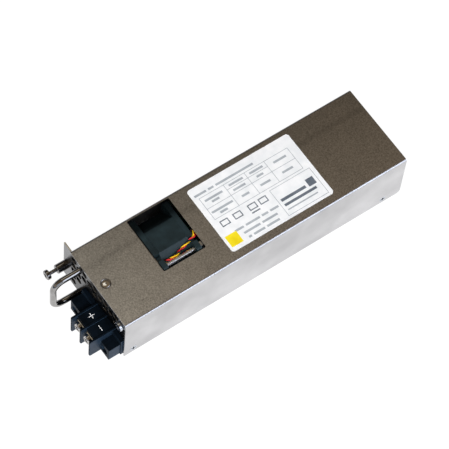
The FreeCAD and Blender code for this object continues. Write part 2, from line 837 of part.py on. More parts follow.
captive = new_body("captive")
head_back = "(-barrel_length - captive_stroke - captive_stop_gap)"
head_front = f"({head_back} - captive_head_height)"
thread_start = f"({ring_back} + thread_gap)"
thread_end = "(gauge - sheet_gap)"
captive_profile = [
    ("0", head_front),
    ("captive_head_radius - barrel_bevel", head_front),
    ("captive_head_radius", f"{head_front} + barrel_bevel"),
    ("captive_head_radius", f"{head_back} - barrel_bevel"),
    ("captive_head_radius - barrel_bevel", head_back),
    ("neck_radius", head_back),
    ("neck_radius", thread_start),
    ("screw_radius", thread_start),
    ("screw_radius", f"{thread_end} - barrel_bevel"),
    ("screw_radius - barrel_bevel", thread_end),
    ("0", thread_end),
]
spin(captive, "Y", captive_profile)
captive_cross = cross_outline("recess_width", "captive_head_radius")
pocket(captive, "XZ", [captive_cross], (head_front, f"({head_front} + recess_depth)"))
node("captive_screw", place(captive, CAPTIVE_X, PANEL_FRONT, "captive_height"))

# Terminal block: one moulding with three barriers, a roof over the clamps and a sunk ear at each end

terminal = new_body("terminal")
block_sides = around(POLE_MIDDLE, "(2 * terminal_pitch + barrier_thickness)")
plate_front = f"({PANEL_FRONT} - base_plate_thickness)"
barrier_front = f"({PANEL_FRONT} - barrier_reach)"
ear_front = f"({PANEL_FRONT} - ear_reach)"
ear_seat = f"({ear_front} + ear_sink_depth)"
deck_limits = ("terminal_bottom", "terminal_deck")
plate_sides = around(TERMINAL_X, "(2 * terminal_half_length + 2 * base_plate_margin)")
base_plate = rectangle(plate_sides, ("base_plate_bottom", "terminal_deck"))
pad(terminal, "XZ", [base_plate], (plate_front, PANEL_FRONT))
pad(terminal, "XZ", [rectangle(block_sides, deck_limits)], (SEAT, PANEL_FRONT))
ear_sides = around(TERMINAL_X, "(2 * terminal_half_length)")
pad(terminal, "XZ", [rectangle(ear_sides, ("ear_bottom", "ear_top"))], (ear_front, PANEL_FRONT))
roof = rectangle(block_sides, ("terminal_deck - roof_thickness", "terminal_deck"))
pad(terminal, "XZ", [roof], (f"({PANEL_FRONT} - roof_reach)", SEAT))
barriers = [
    rectangle(around(f"({POLE_MIDDLE} + {step} * terminal_pitch)", "barrier_thickness"),
              ("terminal_bottom", "barrier_top"))
    for step in (-1, 0, 1)
]
barrier_pad = pad(terminal, "XZ", barriers, (barrier_front, PANEL_FRONT))
barrier_noses = edges(barrier_pad, "x", y=[barrier_front], z=["terminal_bottom", "barrier_top"])
dress(terminal, "Fillet", barrier_pad, barrier_noses, "barrier_corner")
pole_holes = [(pole, "pole_height", "terminal_screw_radius + pole_hole_gap") for pole in POLES.values()]
pocket(terminal, "XZ", pole_holes, (SEAT, plate_front))
tail_slots = [
    rectangle(around(pole, "(tail_width + 2 * sheet_gap)"),
              around("tail_drop", "(contact_thickness + 2 * sheet_gap)"))
    for pole in POLES.values()
]
pocket(terminal, "XZ", tail_slots, (SEAT, PANEL_FRONT))
ear_sinks = [(hole, "ear_hole_height", "pan_radius + ear_sink_gap") for hole in EAR_HOLES]
pocket(terminal, "XZ", ear_sinks, (ear_front, ear_seat))
ear_bores = [(hole, "ear_hole_height", "screw_radius + sheet_gap") for hole in EAR_HOLES]
pocket(terminal, "XZ", ear_bores, (ear_seat, PANEL_FRONT))
node("terminal_block", terminal)

mount_length = f"({PANEL_BACK} - {ear_seat} + gauge)"
mount_screws = [
    pan_screw("terminal_mount_screw", "Y", "-", hole, ear_seat, "ear_hole_height", mount_length)
    for hole in EAR_HOLES
]
node("terminal_mount_screws", group("terminal_mount_screws", mount_screws))

# Each pole: a contact that runs back through the panel, a clamp plate with two lips, and its screw

contact_front = f"({SEAT} - contact_thickness)"
clamp_back = f"({contact_front} - clamp_lift)"
clamp_front = f"({clamp_back} - clamp_thickness)"
tail_end = f"({PANEL_BACK} + tail_reach)"
contact_width = "(terminal_pitch - barrier_thickness - 2 * contact_side_gap)"
clamp_width = "(terminal_pitch - barrier_thickness - 2 * clamp_side_gap)"
for pole, pole_x in POLES.items():
    screw_hole = (pole_x, "pole_height", "terminal_screw_radius + thread_gap")
    contact = new_body("contact")
    contact_plate = rectangle(around(pole_x, contact_width), ("contact_bottom", "contact_top"))
    pad(contact, "XZ", [contact_plate], (contact_front, SEAT))
    tail = rectangle(around(pole_x, "tail_width"), around("tail_drop", "contact_thickness"))
    pad(contact, "XZ", [tail], (SEAT, tail_end))
    pocket(contact, "XZ", [screw_hole], (contact_front, SEAT))
    node("contact_" + pole, contact)

    clamp = new_body("clamp")
    clamp_sides = around(pole_x, clamp_width)
    clamp_rise = around("pole_height", "clamp_height")
    clamp_pad = pad(clamp, "XZ", [rectangle(clamp_sides, clamp_rise)], (clamp_front, clamp_back))
    clamp_corners = edges(clamp_pad, "y", x=clamp_sides, z=clamp_rise)
    dress(clamp, "Fillet", clamp_pad, clamp_corners, "clamp_corner")
    lip_middle = f"({clamp_width} - clamp_thickness) / 2"
    lip_rise = around("pole_height", "clamp_lip_length")
    lips = [
        rectangle(around(f"({pole_x} {sign} {lip_middle})", "clamp_thickness"), lip_rise)
        for sign in "-+"
    ]
    pad(clamp, "XZ", lips, (clamp_front, f"({clamp_back} + clamp_lip)"))
    pocket(clamp, "XZ", [screw_hole], (clamp_front, clamp_back))
    node("clamp_plate_" + pole, clamp)

    screw = new_body("terminal_screw")
    head_top = "(-thread_gap - terminal_head_height)"
    screw_profile = [
        ("0", head_top),
        ("terminal_head_radius - terminal_head_bevel", head_top),
        ("terminal_head_radius", f"{head_top} + terminal_head_bevel"),
        ("terminal_head_radius", "-thread_gap"),
        ("terminal_screw_radius", "-thread_gap"),
        ("terminal_screw_radius", "terminal_screw_length"),
        ("0", "terminal_screw_length"),
    ]
    spin(screw, "Y", screw_profile)
    screw_cross = cross_outline("terminal_recess_width", "terminal_recess_length")
    pocket(screw, "XZ", [screw_cross], (head_top, f"({head_top} + recess_depth)"))
    node("terminal_screw_" + pole, place(screw, pole_x, clamp_front, "pole_height"))

# Earth screw with its washer, and the countersunk screw that holds the cover to the panel's tab

washer_sides = ("screw_radius + thread_gap", "earth_washer_radius")
washer_profile = rectangle(washer_sides, ("-earth_washer_thickness", "0"))
node("earth_washer", turned("earth_ring", "Y", washer_profile, EARTH_X, PANEL_FRONT, "earth_height"))
earth_seat = f"({PANEL_FRONT} - earth_washer_thickness)"
earth = pan_screw("earth", "Y", "-", EARTH_X, earth_seat, "earth_height", "fastener_length - gauge",
                  "earth_head_radius", "earth_head_height")
earth_cross = cross_outline("recess_width", "recess_length")
pocket(earth, "XZ", [earth_cross], ("(-earth_head_height)", "(recess_depth - earth_head_height)"))
node("earth_screw", earth)

dimple_slope = "((dimple_depth - gauge / 2) / (dimple_radius - dimple_hole_radius))"
flat_top = f"(case_height - (dimple_radius - flat_head_radius) * {dimple_slope} + flat_seat_gap)"
flat_bottom = f"({flat_top} - (flat_head_radius - screw_radius) * {dimple_slope})"
flat_tip = f"({PANEL_TOP} - fastener_length + gauge)"
flat_profile = [
    ("0", flat_top),
    ("flat_head_radius", flat_top),
    ("screw_radius", flat_bottom),
    ("screw_radius", flat_tip),
    ("0", flat_tip),
]
flat_screw = new_body("flat_screw")
spin(flat_screw, "Z", flat_profile)
flat_cross = cross_outline("recess_width", "recess_length")
pocket(flat_screw, "XY", [flat_cross], (f"({flat_top} - flat_recess_depth)", flat_top))
node("cover_screw", place(flat_screw, COVER_SCREW_X, COVER_SCREW_Y))

# Paper label on the cover

sticker = new_body("sticker")
label_start = (f"({FAR_SIDE} + label_from_far_side)", f"({CASE_FRONT} + label_from_front)")
label_sides = (label_start[0], f"({label_start[0]} + label_width)")
label_ends = (label_start[1], f"({label_start[1]} + label_length)")
label_rise = ("case_height", "(case_height + label_thickness)")
label_pad = pad(sticker, "XY", [rectangle(label_sides, label_ends)], label_rise)
label_corners = edges(label_pad, "z", x=label_sides, y=label_ends)
dress(sticker, "Fillet", label_pad, label_corners, "label_corner")
node("label", sticker)

# Fan frame: an eight-sided barrel between two square flanges, with struts that carry the motor at the rear

fan = new_body("fan")
half_barrel = f"({HALF_FAN} - fan_body_inset)"
half_flat = f"({HALF_FAN} - fan_corner_cut)"
octagon = [
    (f"-{half_flat}", f"-{half_barrel}"),
    (half_flat, f"-{half_barrel}"),
    (half_barrel, f"-{half_flat}"),
    (half_barrel, half_flat),
    (half_flat, half_barrel),
    (f"-{half_flat}", half_barrel),
    (f"-{half_barrel}", half_flat),
    (f"-{half_barrel}", f"-{half_flat}"),
]
front_flange = ("0", "fan_flange")
rear_flange = ("(fan_depth - fan_flange)", "fan_depth")
fan_limits = (f"-{HALF_FAN}", HALF_FAN)
fan_square = rectangle(fan_limits, fan_limits)
pad(fan, "XZ", [octagon], ("0", "fan_depth"))
pad(fan, "XZ", [fan_square], front_flange)
flanges = pad(fan, "XZ", [fan_square], rear_flange)
flange_corners = edges(flanges, "y", x=fan_limits, z=fan_limits)
dress(fan, "Fillet", flanges, flange_corners, "fan_corner")
pocket(fan, "XZ", [("0", "0", FAN_BORE)], ("0", "fan_depth"))
notch = rectangle(around(NOTCH_OFFSET, "notch_width"), (f"({HALF_FAN} - notch_depth)", HALF_FAN))
pocket(fan, "XZ", [notch], front_flange)
pocket(fan, "XZ", [notch], rear_flange)
half_pitch = f"({HALF_FAN} - fan_bolt_inset)"
bolt_places = [(f"({a}{half_pitch})", f"({b}{half_pitch})") for a in ("-", "") for b in ("-", "")]
pocket(fan, "XZ", [(u, v, "fan_bolt_hole") for u, v in bolt_places], ("0", "fan_depth"))
plate_start = "(fan_depth - motor_plate)"
strut = rectangle(around("0", "strut_width"), ("0", f"({FAN_BORE} + fan_body_inset)"))
strut_pad = pad(fan, "XZ", [strut], (plate_start, "fan_depth"))
polar(fan, [strut_pad], "Y", "strut_count")
pad(fan, "XZ", [("0", "0", "motor_radius")], (plate_start, "fan_depth"))
tube_start = f"({plate_start} - bearing_tube_length)"
bearing_tube = [("0", "0", "bearing_tube_radius"), ("0", "0", "bearing_radius")]
pad(fan, "XZ", bearing_tube, (tube_start, plate_start))
node("fan_frame", place(fan, FAN_X, FAN_FRONT, FAN_Z))

# Impeller: a hub cup with twisted blades, lofted from root to tip and repeated round the shaft

impeller = new_body("impeller")
hub_end = "(hub_setback + hub_length)"
hub_profile = [
    ("0", "hub_setback"),
    ("hub_radius - hub_bevel", "hub_setback"),
    ("hub_radius", "hub_setback + hub_bevel"),
    ("hub_radius", hub_end),
    ("0", hub_end),
]
spin(impeller, "Y", hub_profile)
blade_front = "(hub_setback + blade_inset)"
blade_back = f"({hub_end} - blade_inset)"


def blade_section(level, sweep):
    """A slanted section across one blade at a distance from the shaft."""
    half = "blade_thickness / 2"
    sketch = new_sketch(impeller, "XY", level)
    corners = [
        (f"-({sweep}) - {half}", blade_front),
        (f"-({sweep}) + {half}", blade_front),
        (f"{sweep} + {half}", blade_back),
        (f"{sweep} - {half}", blade_back),
    ]
    draw(sketch, [corners])
    return sketch


blade = impeller.newObject("PartDesign::AdditiveLoft", "blade")
blade.Profile = blade_section("(hub_radius - blade_root_depth)", "blade_root_sweep")
blade.Sections = [blade_section(f"({BLADE_TIP} + hub_wall)", "blade_tip_sweep")]
polar(impeller, [blade], "Y", "blade_count")
tip_trim = pocket(impeller, "XZ", [("0", "0", "fan_size"), ("0", "0", BLADE_TIP)], ("0", "fan_depth"))
tip_trim.Refine = False
cup_start = "(hub_setback + hub_face)"
pocket(impeller, "XZ", [("0", "0", "hub_radius - hub_wall")], (cup_start, hub_end))
boss_end = f"({cup_start} + boss_length)"
pad(impeller, "XZ", [("0", "0", "boss_radius"), ("0", "0", "shaft_radius")], (cup_start, boss_end))
node("fan_impeller", place(impeller, FAN_X, FAN_FRONT, FAN_Z))

shaft_end = f"({plate_start} - sheet_gap)"
shaft_profile = rectangle(("0", "shaft_radius"), (cup_start, shaft_end))
node("fan_shaft", turned("motor_shaft", "Y", shaft_profile, FAN_X, FAN_FRONT, FAN_Z))
bearing_ends = (tube_start, f"{tube_start} + bearing_length")
bearing_profile = rectangle(("shaft_radius + running_gap", "bearing_radius"), bearing_ends)
node("fan_bearing", turned("bearing", "Y", bearing_profile, FAN_X, FAN_FRONT, FAN_Z))
magnet_sides = ("(hub_radius - hub_wall - magnet_thickness)", "hub_radius - hub_wall")
magnet_profile = rectangle(magnet_sides, (f"{hub_end} - magnet_length", hub_end))
node("fan_magnet", turned("magnet", "Y", magnet_profile, FAN_X, FAN_FRONT, FAN_Z))

# Stator: slotted laminations on the bearing tube with one coil on each of the four poles

stator = new_body("stator")
stator_middle = f"({hub_end} - magnet_length / 2)"
stator_limits = around(stator_middle, "stator_length")
stator_radius = f"({magnet_sides[0]} - stator_gap)"
laminations = [("0", "0", stator_radius), ("0", "0", "bearing_tube_radius + sheet_gap")]
pad(stator, "XZ", laminations, stator_limits)
slot = [
    ("-slot_mouth / 2", f"{stator_radius} + gauge"),
    ("-slot_mouth / 2", "slot_top"),
    ("-slot_width / 2", "slot_top"),
    ("-slot_floor / 2", "slot_bottom"),
    ("slot_floor / 2", "slot_bottom"),
    ("slot_width / 2", "slot_top"),
    ("slot_mouth / 2", "slot_top"),
    ("slot_mouth / 2", f"{stator_radius} + gauge"),
]
slot_pocket = pocket(stator, "XZ", [slot], stator_limits)
polar(stator, [slot_pocket], "Y", "strut_count")
SLOT_TURN = 45
stator.Placement.Rotation = FreeCAD.Rotation(FreeCAD.Vector(0, 1, 0), SLOT_TURN)
node("fan_stator", place(stator, FAN_X, FAN_FRONT, FAN_Z))
coil_middle = f"({FAN_FRONT} + {stator_middle})"
coil_lengths = around(coil_middle, "(stator_length + 2 * coil_wire + 2 * sheet_gap)")
coil_cores = around(coil_middle, "(stator_length + 2 * sheet_gap)")
coils = []
for sign in ("-", "+"):
    low, high = ("coil_top", "coil_bottom") if sign == "-" else ("coil_bottom", "coil_top")
    side = (f"({FAN_X} {sign} {low})", f"({FAN_X} {sign} {high})")
    rise = (f"({FAN_Z} {sign} {low})", f"({FAN_Z} {sign} {high})")
    wide_x, core_x = around(FAN_X, "coil_width"), around(FAN_X, "(coil_width - 2 * coil_wire)")
    wide_z, core_z = around(FAN_Z, "coil_width"), around(FAN_Z, "(coil_width - 2 * coil_wire)")
    level_coil = block("coil", wide_x, coil_lengths, rise)
    coils.append(cut("coil", level_coil, [block("pole", core_x, coil_cores, rise)]))
    upright_coil = block("coil", side, coil_lengths, wide_z)
    coils.append(cut("coil", upright_coil, [block("pole", side, coil_cores, core_z)]))
node("fan_coils", group("coils", coils))

# Bracket that stands on the floor and carries the fan on two through bolts, set on a diagonal

bracket = new_body("bracket")
bracket_limits = (f"({FAN_FRONT} - gauge)", FAN_FRONT)
bracket_sides = (f"(-{tray_inside} + sheet_gap)", f"({tray_inside} - sheet_gap)")
bracket_plate = rectangle(bracket_sides, ("gauge", "(case_height - bracket_headroom)"))
pad(bracket, "XZ", [bracket_plate], bracket_limits)
foot_ends = (f"({FAN_FRONT} - bracket_foot)", FAN_FRONT)
bracket_feet = [
    rectangle(around(FAN_X, "bracket_foot_width"), foot_ends),
    rectangle((f"({FAN_X} + {HALF_FAN})", bracket_sides[1]), foot_ends),
]
pad(bracket, "XY", bracket_feet, ("gauge", "(2 * gauge)"))
held_corners = (bolt_places[0], bolt_places[-1])
fan_bolt_places = [(f"({FAN_X} + {u})", f"({FAN_Z} + {v})") for u, v in held_corners]
bracket_holes = [(FAN_X, FAN_Z, f"({FAN_BORE} - bracket_lap)")]
bracket_holes += [(u, v, "fan_bolt_hole") for u, v in fan_bolt_places]
pocket(bracket, "XZ", bracket_holes, bracket_limits)
node("fan_bracket", bracket)
fan_bolts = [
    pan_screw("fan_bolt", "Y", "-", u, f"({FAN_FRONT} - gauge)", v, "gauge + fan_depth + nut_height")
    for u, v in fan_bolt_places
]
node("fan_bolts", group("fan_bolts", fan_bolts))
node("fan_nuts", group("fan_nuts", [hex_nut("fan_nut", u, FAN_BACK, v) for u, v in fan_bolt_places]))

# Circuit board with its contact tongue, held over the floor on standoffs

board_end = f"({REAR_FACE} - board_end_gap)"
tongue_end = f"({CASE_REAR} + tongue_reach)"
half_board = f"({tray_inside} - board_side_gap)"
half_tongue = "(tongue_width / 2)"
board = new_body("board")
board_outline = [
    (f"-{half_board}", BOARD_FRONT),
    (half_board, BOARD_FRONT),
    (half_board, board_end),
    (half_tongue, board_end),
    (half_tongue, f"{tongue_end} - tongue_bevel"),
    (f"{half_tongue} - tongue_bevel", tongue_end),
    (f"-({half_tongue} - tongue_bevel)", tongue_end),
    (f"-{half_tongue}", f"{tongue_end} - tongue_bevel"),
    (f"-{half_tongue}", board_end),
    (f"-{half_board}", board_end),
]
board_limits = ("board_height", BOARD_TOP)
pad(board, "XY", [board_outline], board_limits)
node("main_board", board)

fingers = []
finger_ends = (f"({tongue_end} - tongue_bevel - finger_length)", f"({tongue_end} - tongue_bevel)")
faces = (
    (BOARD_TOP, f"({BOARD_TOP} + finger_thickness)"),
    ("(board_height - finger_thickness)", "board_height"),
)
for index in range(int(value("finger_count"))):
    middle = f"(({index} - (finger_count - 1) / 2) * finger_pitch)"
    fingers += [block("finger", around(middle, "finger_width"), finger_ends, face) for face in faces]
node("edge_contacts", group("fingers", fingers))

standoff_x = f"({half_board} - standoff_inset)"
standoffs = []
for sign in ("-", ""):
    for row in ("standoff_front", "standoff_rear"):
        foot = (f"{sign}{standoff_x}", f"({BOARD_FRONT} + {row})", "gauge")
        standoffs.append(hexagon("standoff", "Z", "2 * standoff_radius", foot, "board_height - gauge"))
node("board_standoffs", group("standoffs", standoffs))


def spot(part, axis_x="from_far_side", axis_y="from_edge"):
    """Place of a part on the board: from the case's far side and from the board's front edge."""
    return f"({FAR_SIDE} + {part}_{axis_x})", f"({BOARD_FRONT} + {part}_{axis_y})"


def above_board(*heights):
    return tuple(f"({BOARD_TOP} + {height})" for height in heights)


# Fan header and the plug of the fan lead

header_x, header_y = spot("header")
socket = new_body("socket")
header_outline = rectangle(around(header_x, "header_width"), around(header_y, "header_depth"))
pad(socket, "XY", [header_outline], above_board("0", "header_height"))
plug_space = rectangle(around(header_x, "(header_width - 2 * header_wall)"),
                       around(header_y, "(header_depth - 2 * header_wall)"))
pocket(socket, "XY", [plug_space], above_board("header_wall", "header_height"))
node("fan_header", socket)
plug_x = around(header_x, "(header_width - 2 * header_wall - 2 * sheet_gap)")
plug_y = around(header_y, "(header_depth - 2 * header_wall - 2 * sheet_gap)")
node("fan_plug", block("plug", plug_x, plug_y, above_board("header_wall + sheet_gap", "plug_height")))

# Input choke: a ring core that lies flat, with a winding on each half

choke_x, choke_y = spot("choke")
choke_sides = ("choke_inner", "choke_outer")
choke_rise = above_board("choke_lift", "choke_lift + choke_height")
node("choke_core", turned("choke_ring", "Z", rectangle(choke_sides, choke_rise), choke_x, choke_y))


def grown(limits, growth):
    return f"({limits[0]} - {growth})", f"({limits[1]} + {growth})"


winding_outside = rectangle(grown(choke_sides, "choke_wire"), grown(choke_rise, "choke_wire"))
winding_inside = rectangle(grown(choke_sides, "sheet_gap"), grown(choke_rise, "sheet_gap"))
WINDING_SPAN = 150
WINDING_STARTS = (15, 195)
halves = []
for start in WINDING_STARTS:
    half_winding = new_body("half_winding")
    spin(half_winding, "Z", [winding_outside, winding_inside], angle=WINDING_SPAN)
    half_winding.Placement.Rotation = FreeCAD.Rotation(FreeCAD.Vector(0, 0, 1), start)
    halves.append(place(half_winding, choke_x, choke_y))
node("choke_windings", group("half_windings", halves))

# Electrolytic cans


def can(name, x, y, radius, height):
    return turned(name, "Z", rectangle(("0", radius), ("0", height)), x, y, BOARD_TOP)


bulk_x, bulk_y = spot("bulk")
bulk_cans = [
    can("bulk_can", bulk_x, f"({bulk_y} + {row} * bulk_pitch)", "bulk_radius", "bulk_height")
    for row in (0, 1)
]
node("input_capacitors", group("bulk_cans", bulk_cans))
output_x, output_y = spot("output")
output_cans = [
    can("output_can", f"({output_x} + {column} * output_pitch)", output_y, "output_radius", "output_height")
    for column in (0, 1)
]
node("output_capacitors", group("output_cans", output_cans))

# Heat sinks: extruded combs with fins towards the walls and power packages on the flat side


def heat_sink(name, part, fin_sense, package_name):
    x, y = spot(part)
    sink = new_body(name + "_comb")
    sink_z = above_board("0", "sink_height")
    pad(sink, "XY", [rectangle(around(x, "sink_web"), (y, f"({y} + sink_length)"))], sink_z)
    root = f"({x} {fin_sense} sink_web / 2)"
    tip = f"({root} {fin_sense} sink_fin_reach)"
    fin = rectangle((tip, root) if fin_sense == "-" else (root, tip), (y, f"({y} + sink_fin)"))
    fins = pad(sink, "XY", [fin], sink_z)
    pattern = sink.newObject("PartDesign::LinearPattern", name + "_fins")
    pattern.Originals = [fins]
    pattern.Direction = (origin_feature(sink, "Y_Axis"), [""])
    bind(pattern, Length="sink_fin_pitch * (sink_fin_count - 1)", Occurrences="sink_fin_count")
    sink.Tip = pattern
    node(name, sink)
    away = "+" if fin_sense == "-" else "-"
    back = f"({x} {away} sink_web / 2)"
    face = f"({back} {away} package_thickness)"
    lead_x = around(f"({back} {away} package_thickness / 2)", "package_lead")
    packages = []
    for step in (0, 1):
        middle = f"({y} + package_inset + {step} * package_pitch)"
        depth = (back, face) if away == "+" else (face, back)
        rise = above_board("package_lift", "package_lift + package_height")
        case = block(package_name, depth, around(middle, "package_width"), rise)
        leads = [
            block(package_name, lead_x, around(f"({middle} + {pin} * package_lead_pitch)", "package_lead"),
                  above_board("0", "package_lift + package_lead"))
            for pin in (-1, 0, 1)
        ]
        packages.append(fuse(package_name, [case] + leads))
    node(package_name, group(package_name, packages))


heat_sink("primary_heatsink", "primary_sink", "-", "power_transistors")
heat_sink("secondary_heatsink", "secondary_sink", "+", "rectifiers")

# Transformer: a closed ferrite core with a winding on its middle leg

core_x, core_y = spot("transformer")
core = new_body("ferrite")
core_sides = around(core_x, "transformer_width")
core_depths = around(core_y, "core_depth")
pad(core, "XZ", [rectangle(core_sides, above_board("0", "transformer_height"))], core_depths)
window_z = above_board("core_leg", "transformer_height - core_leg")
core_windows = [
    rectangle((f"({core_sides[0]} + core_leg)", f"({core_x} - core_leg)"), window_z),
    rectangle((f"({core_x} + core_leg)", f"({core_sides[1]} - core_leg)"), window_z),
]
pocket(core, "XZ", core_windows, core_depths)
node("transformer_core", core)
winding = new_body("winding")
winding_z = (f"({window_z[0]} + sheet_gap)", f"({window_z[1]} - sheet_gap)")
winding_x = around(core_x, "(transformer_width - 2 * core_leg - 2 * sheet_gap)")
winding_outline = rectangle(winding_x, around(core_y, "transformer_depth"))
middle_leg = rectangle(around(core_x, "(2 * core_leg + 2 * sheet_gap)"),
                       around(core_y, "(core_depth + 2 * sheet_gap)"))
pad(winding, "XY", [winding_outline, middle_leg], winding_z)
node("transformer_winding", winding)

# Two control chips in flat packages

chip_x, chip_y = spot("chip")
chips = [
    block("chip", around(f"({chip_x} + {step} * chip_pitch)", "chip_width"), around(chip_y, "chip_length"),
          above_board("0", "chip_height"))
    for step in (0, 1)
]
node("control_chips", group("chips", chips))

# Wires: straight runs joined by tangent bends


def wire_route(points, bends):
    """One wire through the points, every corner rounded by its own bend."""
    parts = []
    last = points[0]
    for before, corner, after, bend in zip(points, points[1:], points[2:], bends):
        back = (before - corner).normalize()
        ahead = (after - corner).normalize()
        half = back.getAngle(ahead) / 2
        trim = bend / math.tan(half)
        start = corner + back * trim
        end = corner + ahead * trim
        inward = (back + ahead).normalize()
        middle = corner + inward * (bend / math.sin(half) - bend)
        parts.append(Part.LineSegment(last, start).toShape())
        parts.append(Part.Arc(start, middle, end).toShape())
        last = end
    parts.append(Part.LineSegment(last, points[-1]).toShape())
    return Part.Wire(parts)


EVEN_TUBE = 0.01


def lead(name, stations, bends, radius):
    """A round lead along stations of (x, y, z) expressions, with a bend radius for each inner station."""
    points = [FreeCAD.Vector(*(value(place_name) for place_name in station)) for station in stations]
    route = wire_route(points, [value(bend) for bend in bends])
    section = Part.Wire(Part.Circle(points[0], points[1] - points[0], value(radius)).toShape())
    tube = route.makePipeShell([section], True, False)
    ideal = math.pi * value(radius) ** 2 * route.Length
    if abs(tube.Volume / ideal - 1) > EVEN_TUBE:
        raise RuntimeError(f"{name} is not an even tube")
    item = doc.addObject("Part::Feature", name + "_tube")
    item.Shape = tube
    return node(name, item)


def from_fan(side, depth, rise):
    """A station given from the fan's middle and front."""
    return f"{FAN_X} + {side}", f"{FAN_FRONT} + {depth}", f"{FAN_Z} + {rise}"


plug_top = f"({BOARD_TOP} + plug_height)"
lead_start = (f"{HALF_FAN} - lead_start_from_side", f"{HALF_FAN} - lead_start_from_top")
fan_route = [
    from_fan(lead_start[0], "fan_flange + sheet_gap", lead_start[1]),
    from_fan(NOTCH_OFFSET, "fan_depth + lead_overrun", f"{HALF_FAN} - lead_notch_from_top"),
    (header_x, header_y, f"{plug_top} + lead_drop"),
    (header_x, header_y, plug_top),
]
lead("fan_lead", fan_route, ("lead_notch_bend", "lead_drop_bend"), "fan_lead_radius")

# Write every sub-part that came out whole
doc.recompute()
os.makedirs("parts", exist_ok=True)
for item in doc.Objects:
    if "Invalid" in item.State or "Error" in item.State:
        raise RuntimeError(f"{item.Label} did not build")
for name, item in NODES.items():
    if item.Shape.isNull() or not item.Shape.isValid() or not item.Shape.Solids:
        raise RuntimeError(f"{name} is not a valid solid")
    item.Shape.exportStep(f"parts/{name}.step")
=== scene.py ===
import json
import math

import bmesh
import bpy
from mathutils import Matrix, Vector

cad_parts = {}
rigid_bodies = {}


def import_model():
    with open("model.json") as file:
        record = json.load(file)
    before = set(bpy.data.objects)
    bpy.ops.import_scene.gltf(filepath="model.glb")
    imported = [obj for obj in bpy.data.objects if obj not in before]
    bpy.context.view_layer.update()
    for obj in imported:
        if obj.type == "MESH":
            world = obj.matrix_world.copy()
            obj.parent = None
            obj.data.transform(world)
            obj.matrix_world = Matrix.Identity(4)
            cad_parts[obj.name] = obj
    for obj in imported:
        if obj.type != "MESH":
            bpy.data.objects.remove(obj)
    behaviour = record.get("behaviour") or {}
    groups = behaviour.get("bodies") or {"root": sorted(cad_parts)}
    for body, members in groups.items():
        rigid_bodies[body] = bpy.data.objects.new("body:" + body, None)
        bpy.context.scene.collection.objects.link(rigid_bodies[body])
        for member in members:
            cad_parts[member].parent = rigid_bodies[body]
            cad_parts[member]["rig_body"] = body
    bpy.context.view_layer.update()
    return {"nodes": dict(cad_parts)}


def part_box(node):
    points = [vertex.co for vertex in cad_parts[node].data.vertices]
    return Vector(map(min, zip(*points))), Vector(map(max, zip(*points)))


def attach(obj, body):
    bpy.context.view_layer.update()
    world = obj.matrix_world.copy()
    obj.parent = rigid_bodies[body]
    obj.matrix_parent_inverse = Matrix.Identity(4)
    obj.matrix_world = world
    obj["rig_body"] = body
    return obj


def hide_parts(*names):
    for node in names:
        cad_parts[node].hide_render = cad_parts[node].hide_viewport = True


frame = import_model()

scene = bpy.context.scene

# Stage: a white acrylic sweep that is lit evenly, in a room that is pale on one side and dim and warm overhead.
# A large soft box on the camera's side lights matt surfaces only, with a weak card before it for shine;
# a weak wide box stands on the pale side and a small one over the front.
MM = 0.001
CAMERA_PLACE = (0.56882, -0.50935, 1.41514)
CAMERA_RIGHT = (0.571797, 0.818246, 0.059338)
CAMERA_UP = (-0.737304, 0.480821, 0.474546)
CAMERA_BACK = (0.359764, -0.315094, 0.878229)
CAMERA_LENS_MM = 206.13
ROOM_STRENGTH = 1.37
WALL_SPAN = (-0.7, 0.9)
FRONT_SPAN = (-0.55, -0.85)
LOW_SPAN = (0.1, 0.32)
ZENITH_SPAN = (0.35, 0.8)
CASE_MIDDLE = (0.0, 0.0, 0.0)
CASE_FRONT = (0.0, -0.12, 0.04)
CAMERA_SIDE = (0.85, -0.95, 1.2)
PALE_SIDE = (1.25, 0.65, 0.85)
OVER_FRONT = (-0.45, 0.02, 1.15)
FLOOR_SIDE = 8.0
FLOOR_DROP = 0.05 * MM
FLOOR_CLOUD = 2 / 3
NOISE_SPAN = (0.3, 0.7)

scene.view_settings.view_transform = "Standard"
camera_data = bpy.data.cameras.new("camera")
camera_data.lens = CAMERA_LENS_MM
camera = bpy.data.objects.new("camera", camera_data)
axes = Matrix((CAMERA_RIGHT, CAMERA_UP, CAMERA_BACK)).transposed()
camera.matrix_world = Matrix.Translation(CAMERA_PLACE) @ axes.to_4x4()
scene.collection.objects.link(camera)
scene.camera = camera


def linear(code):
    """An sRGB hex colour as linear red, green, blue and alpha."""
    shares = [int(code[place:place + 2], 16) / 255 for place in (1, 3, 5)]
    return [s / 12.92 if s <= 0.04045 else ((s + 0.055) / 1.055) ** 2.4 for s in shares] + [1.0]


def add(tree, kind, sources=None, **settings):
    """One node with its settings; sources holds a value or a socket for each input."""
    node = tree.nodes.new(kind)
    for name, setting in settings.items():
        setattr(node, name, setting)
    for name, source in (sources or {}).items():
        if isinstance(source, bpy.types.NodeSocket):
            tree.links.new(source, node.inputs[name])
        else:
            node.inputs[name].default_value = source
    return node


def ranged(tree, value, span, reach=(0.0, 1.0), **settings):
    """A value that runs over a reach while its source runs over a span."""
    return add(tree, "ShaderNodeMapRange", {
        "Value": value, "From Min": span[0], "From Max": span[1], "To Min": reach[0], "To Max": reach[1],
    }, **settings).outputs["Result"]


def tinted(tree, share, places, codes):
    """A colour that runs through hex colours at the given places of a share."""
    ramp = add(tree, "ShaderNodeValToRGB", {"Fac": share})
    elements = ramp.color_ramp.elements
    while len(elements) < len(places):
        elements.new(0.5)
    for element, place, code in zip(elements, places, codes):
        element.position = place
        element.color = linear(code)
    return ramp.outputs["Color"]


def blend(tree, share, first, second):
    """Two colours, mixed by the second one's share."""
    return add(tree, "ShaderNodeMix", {0: share, 6: first, 7: second}, data_type="RGBA").outputs[2]


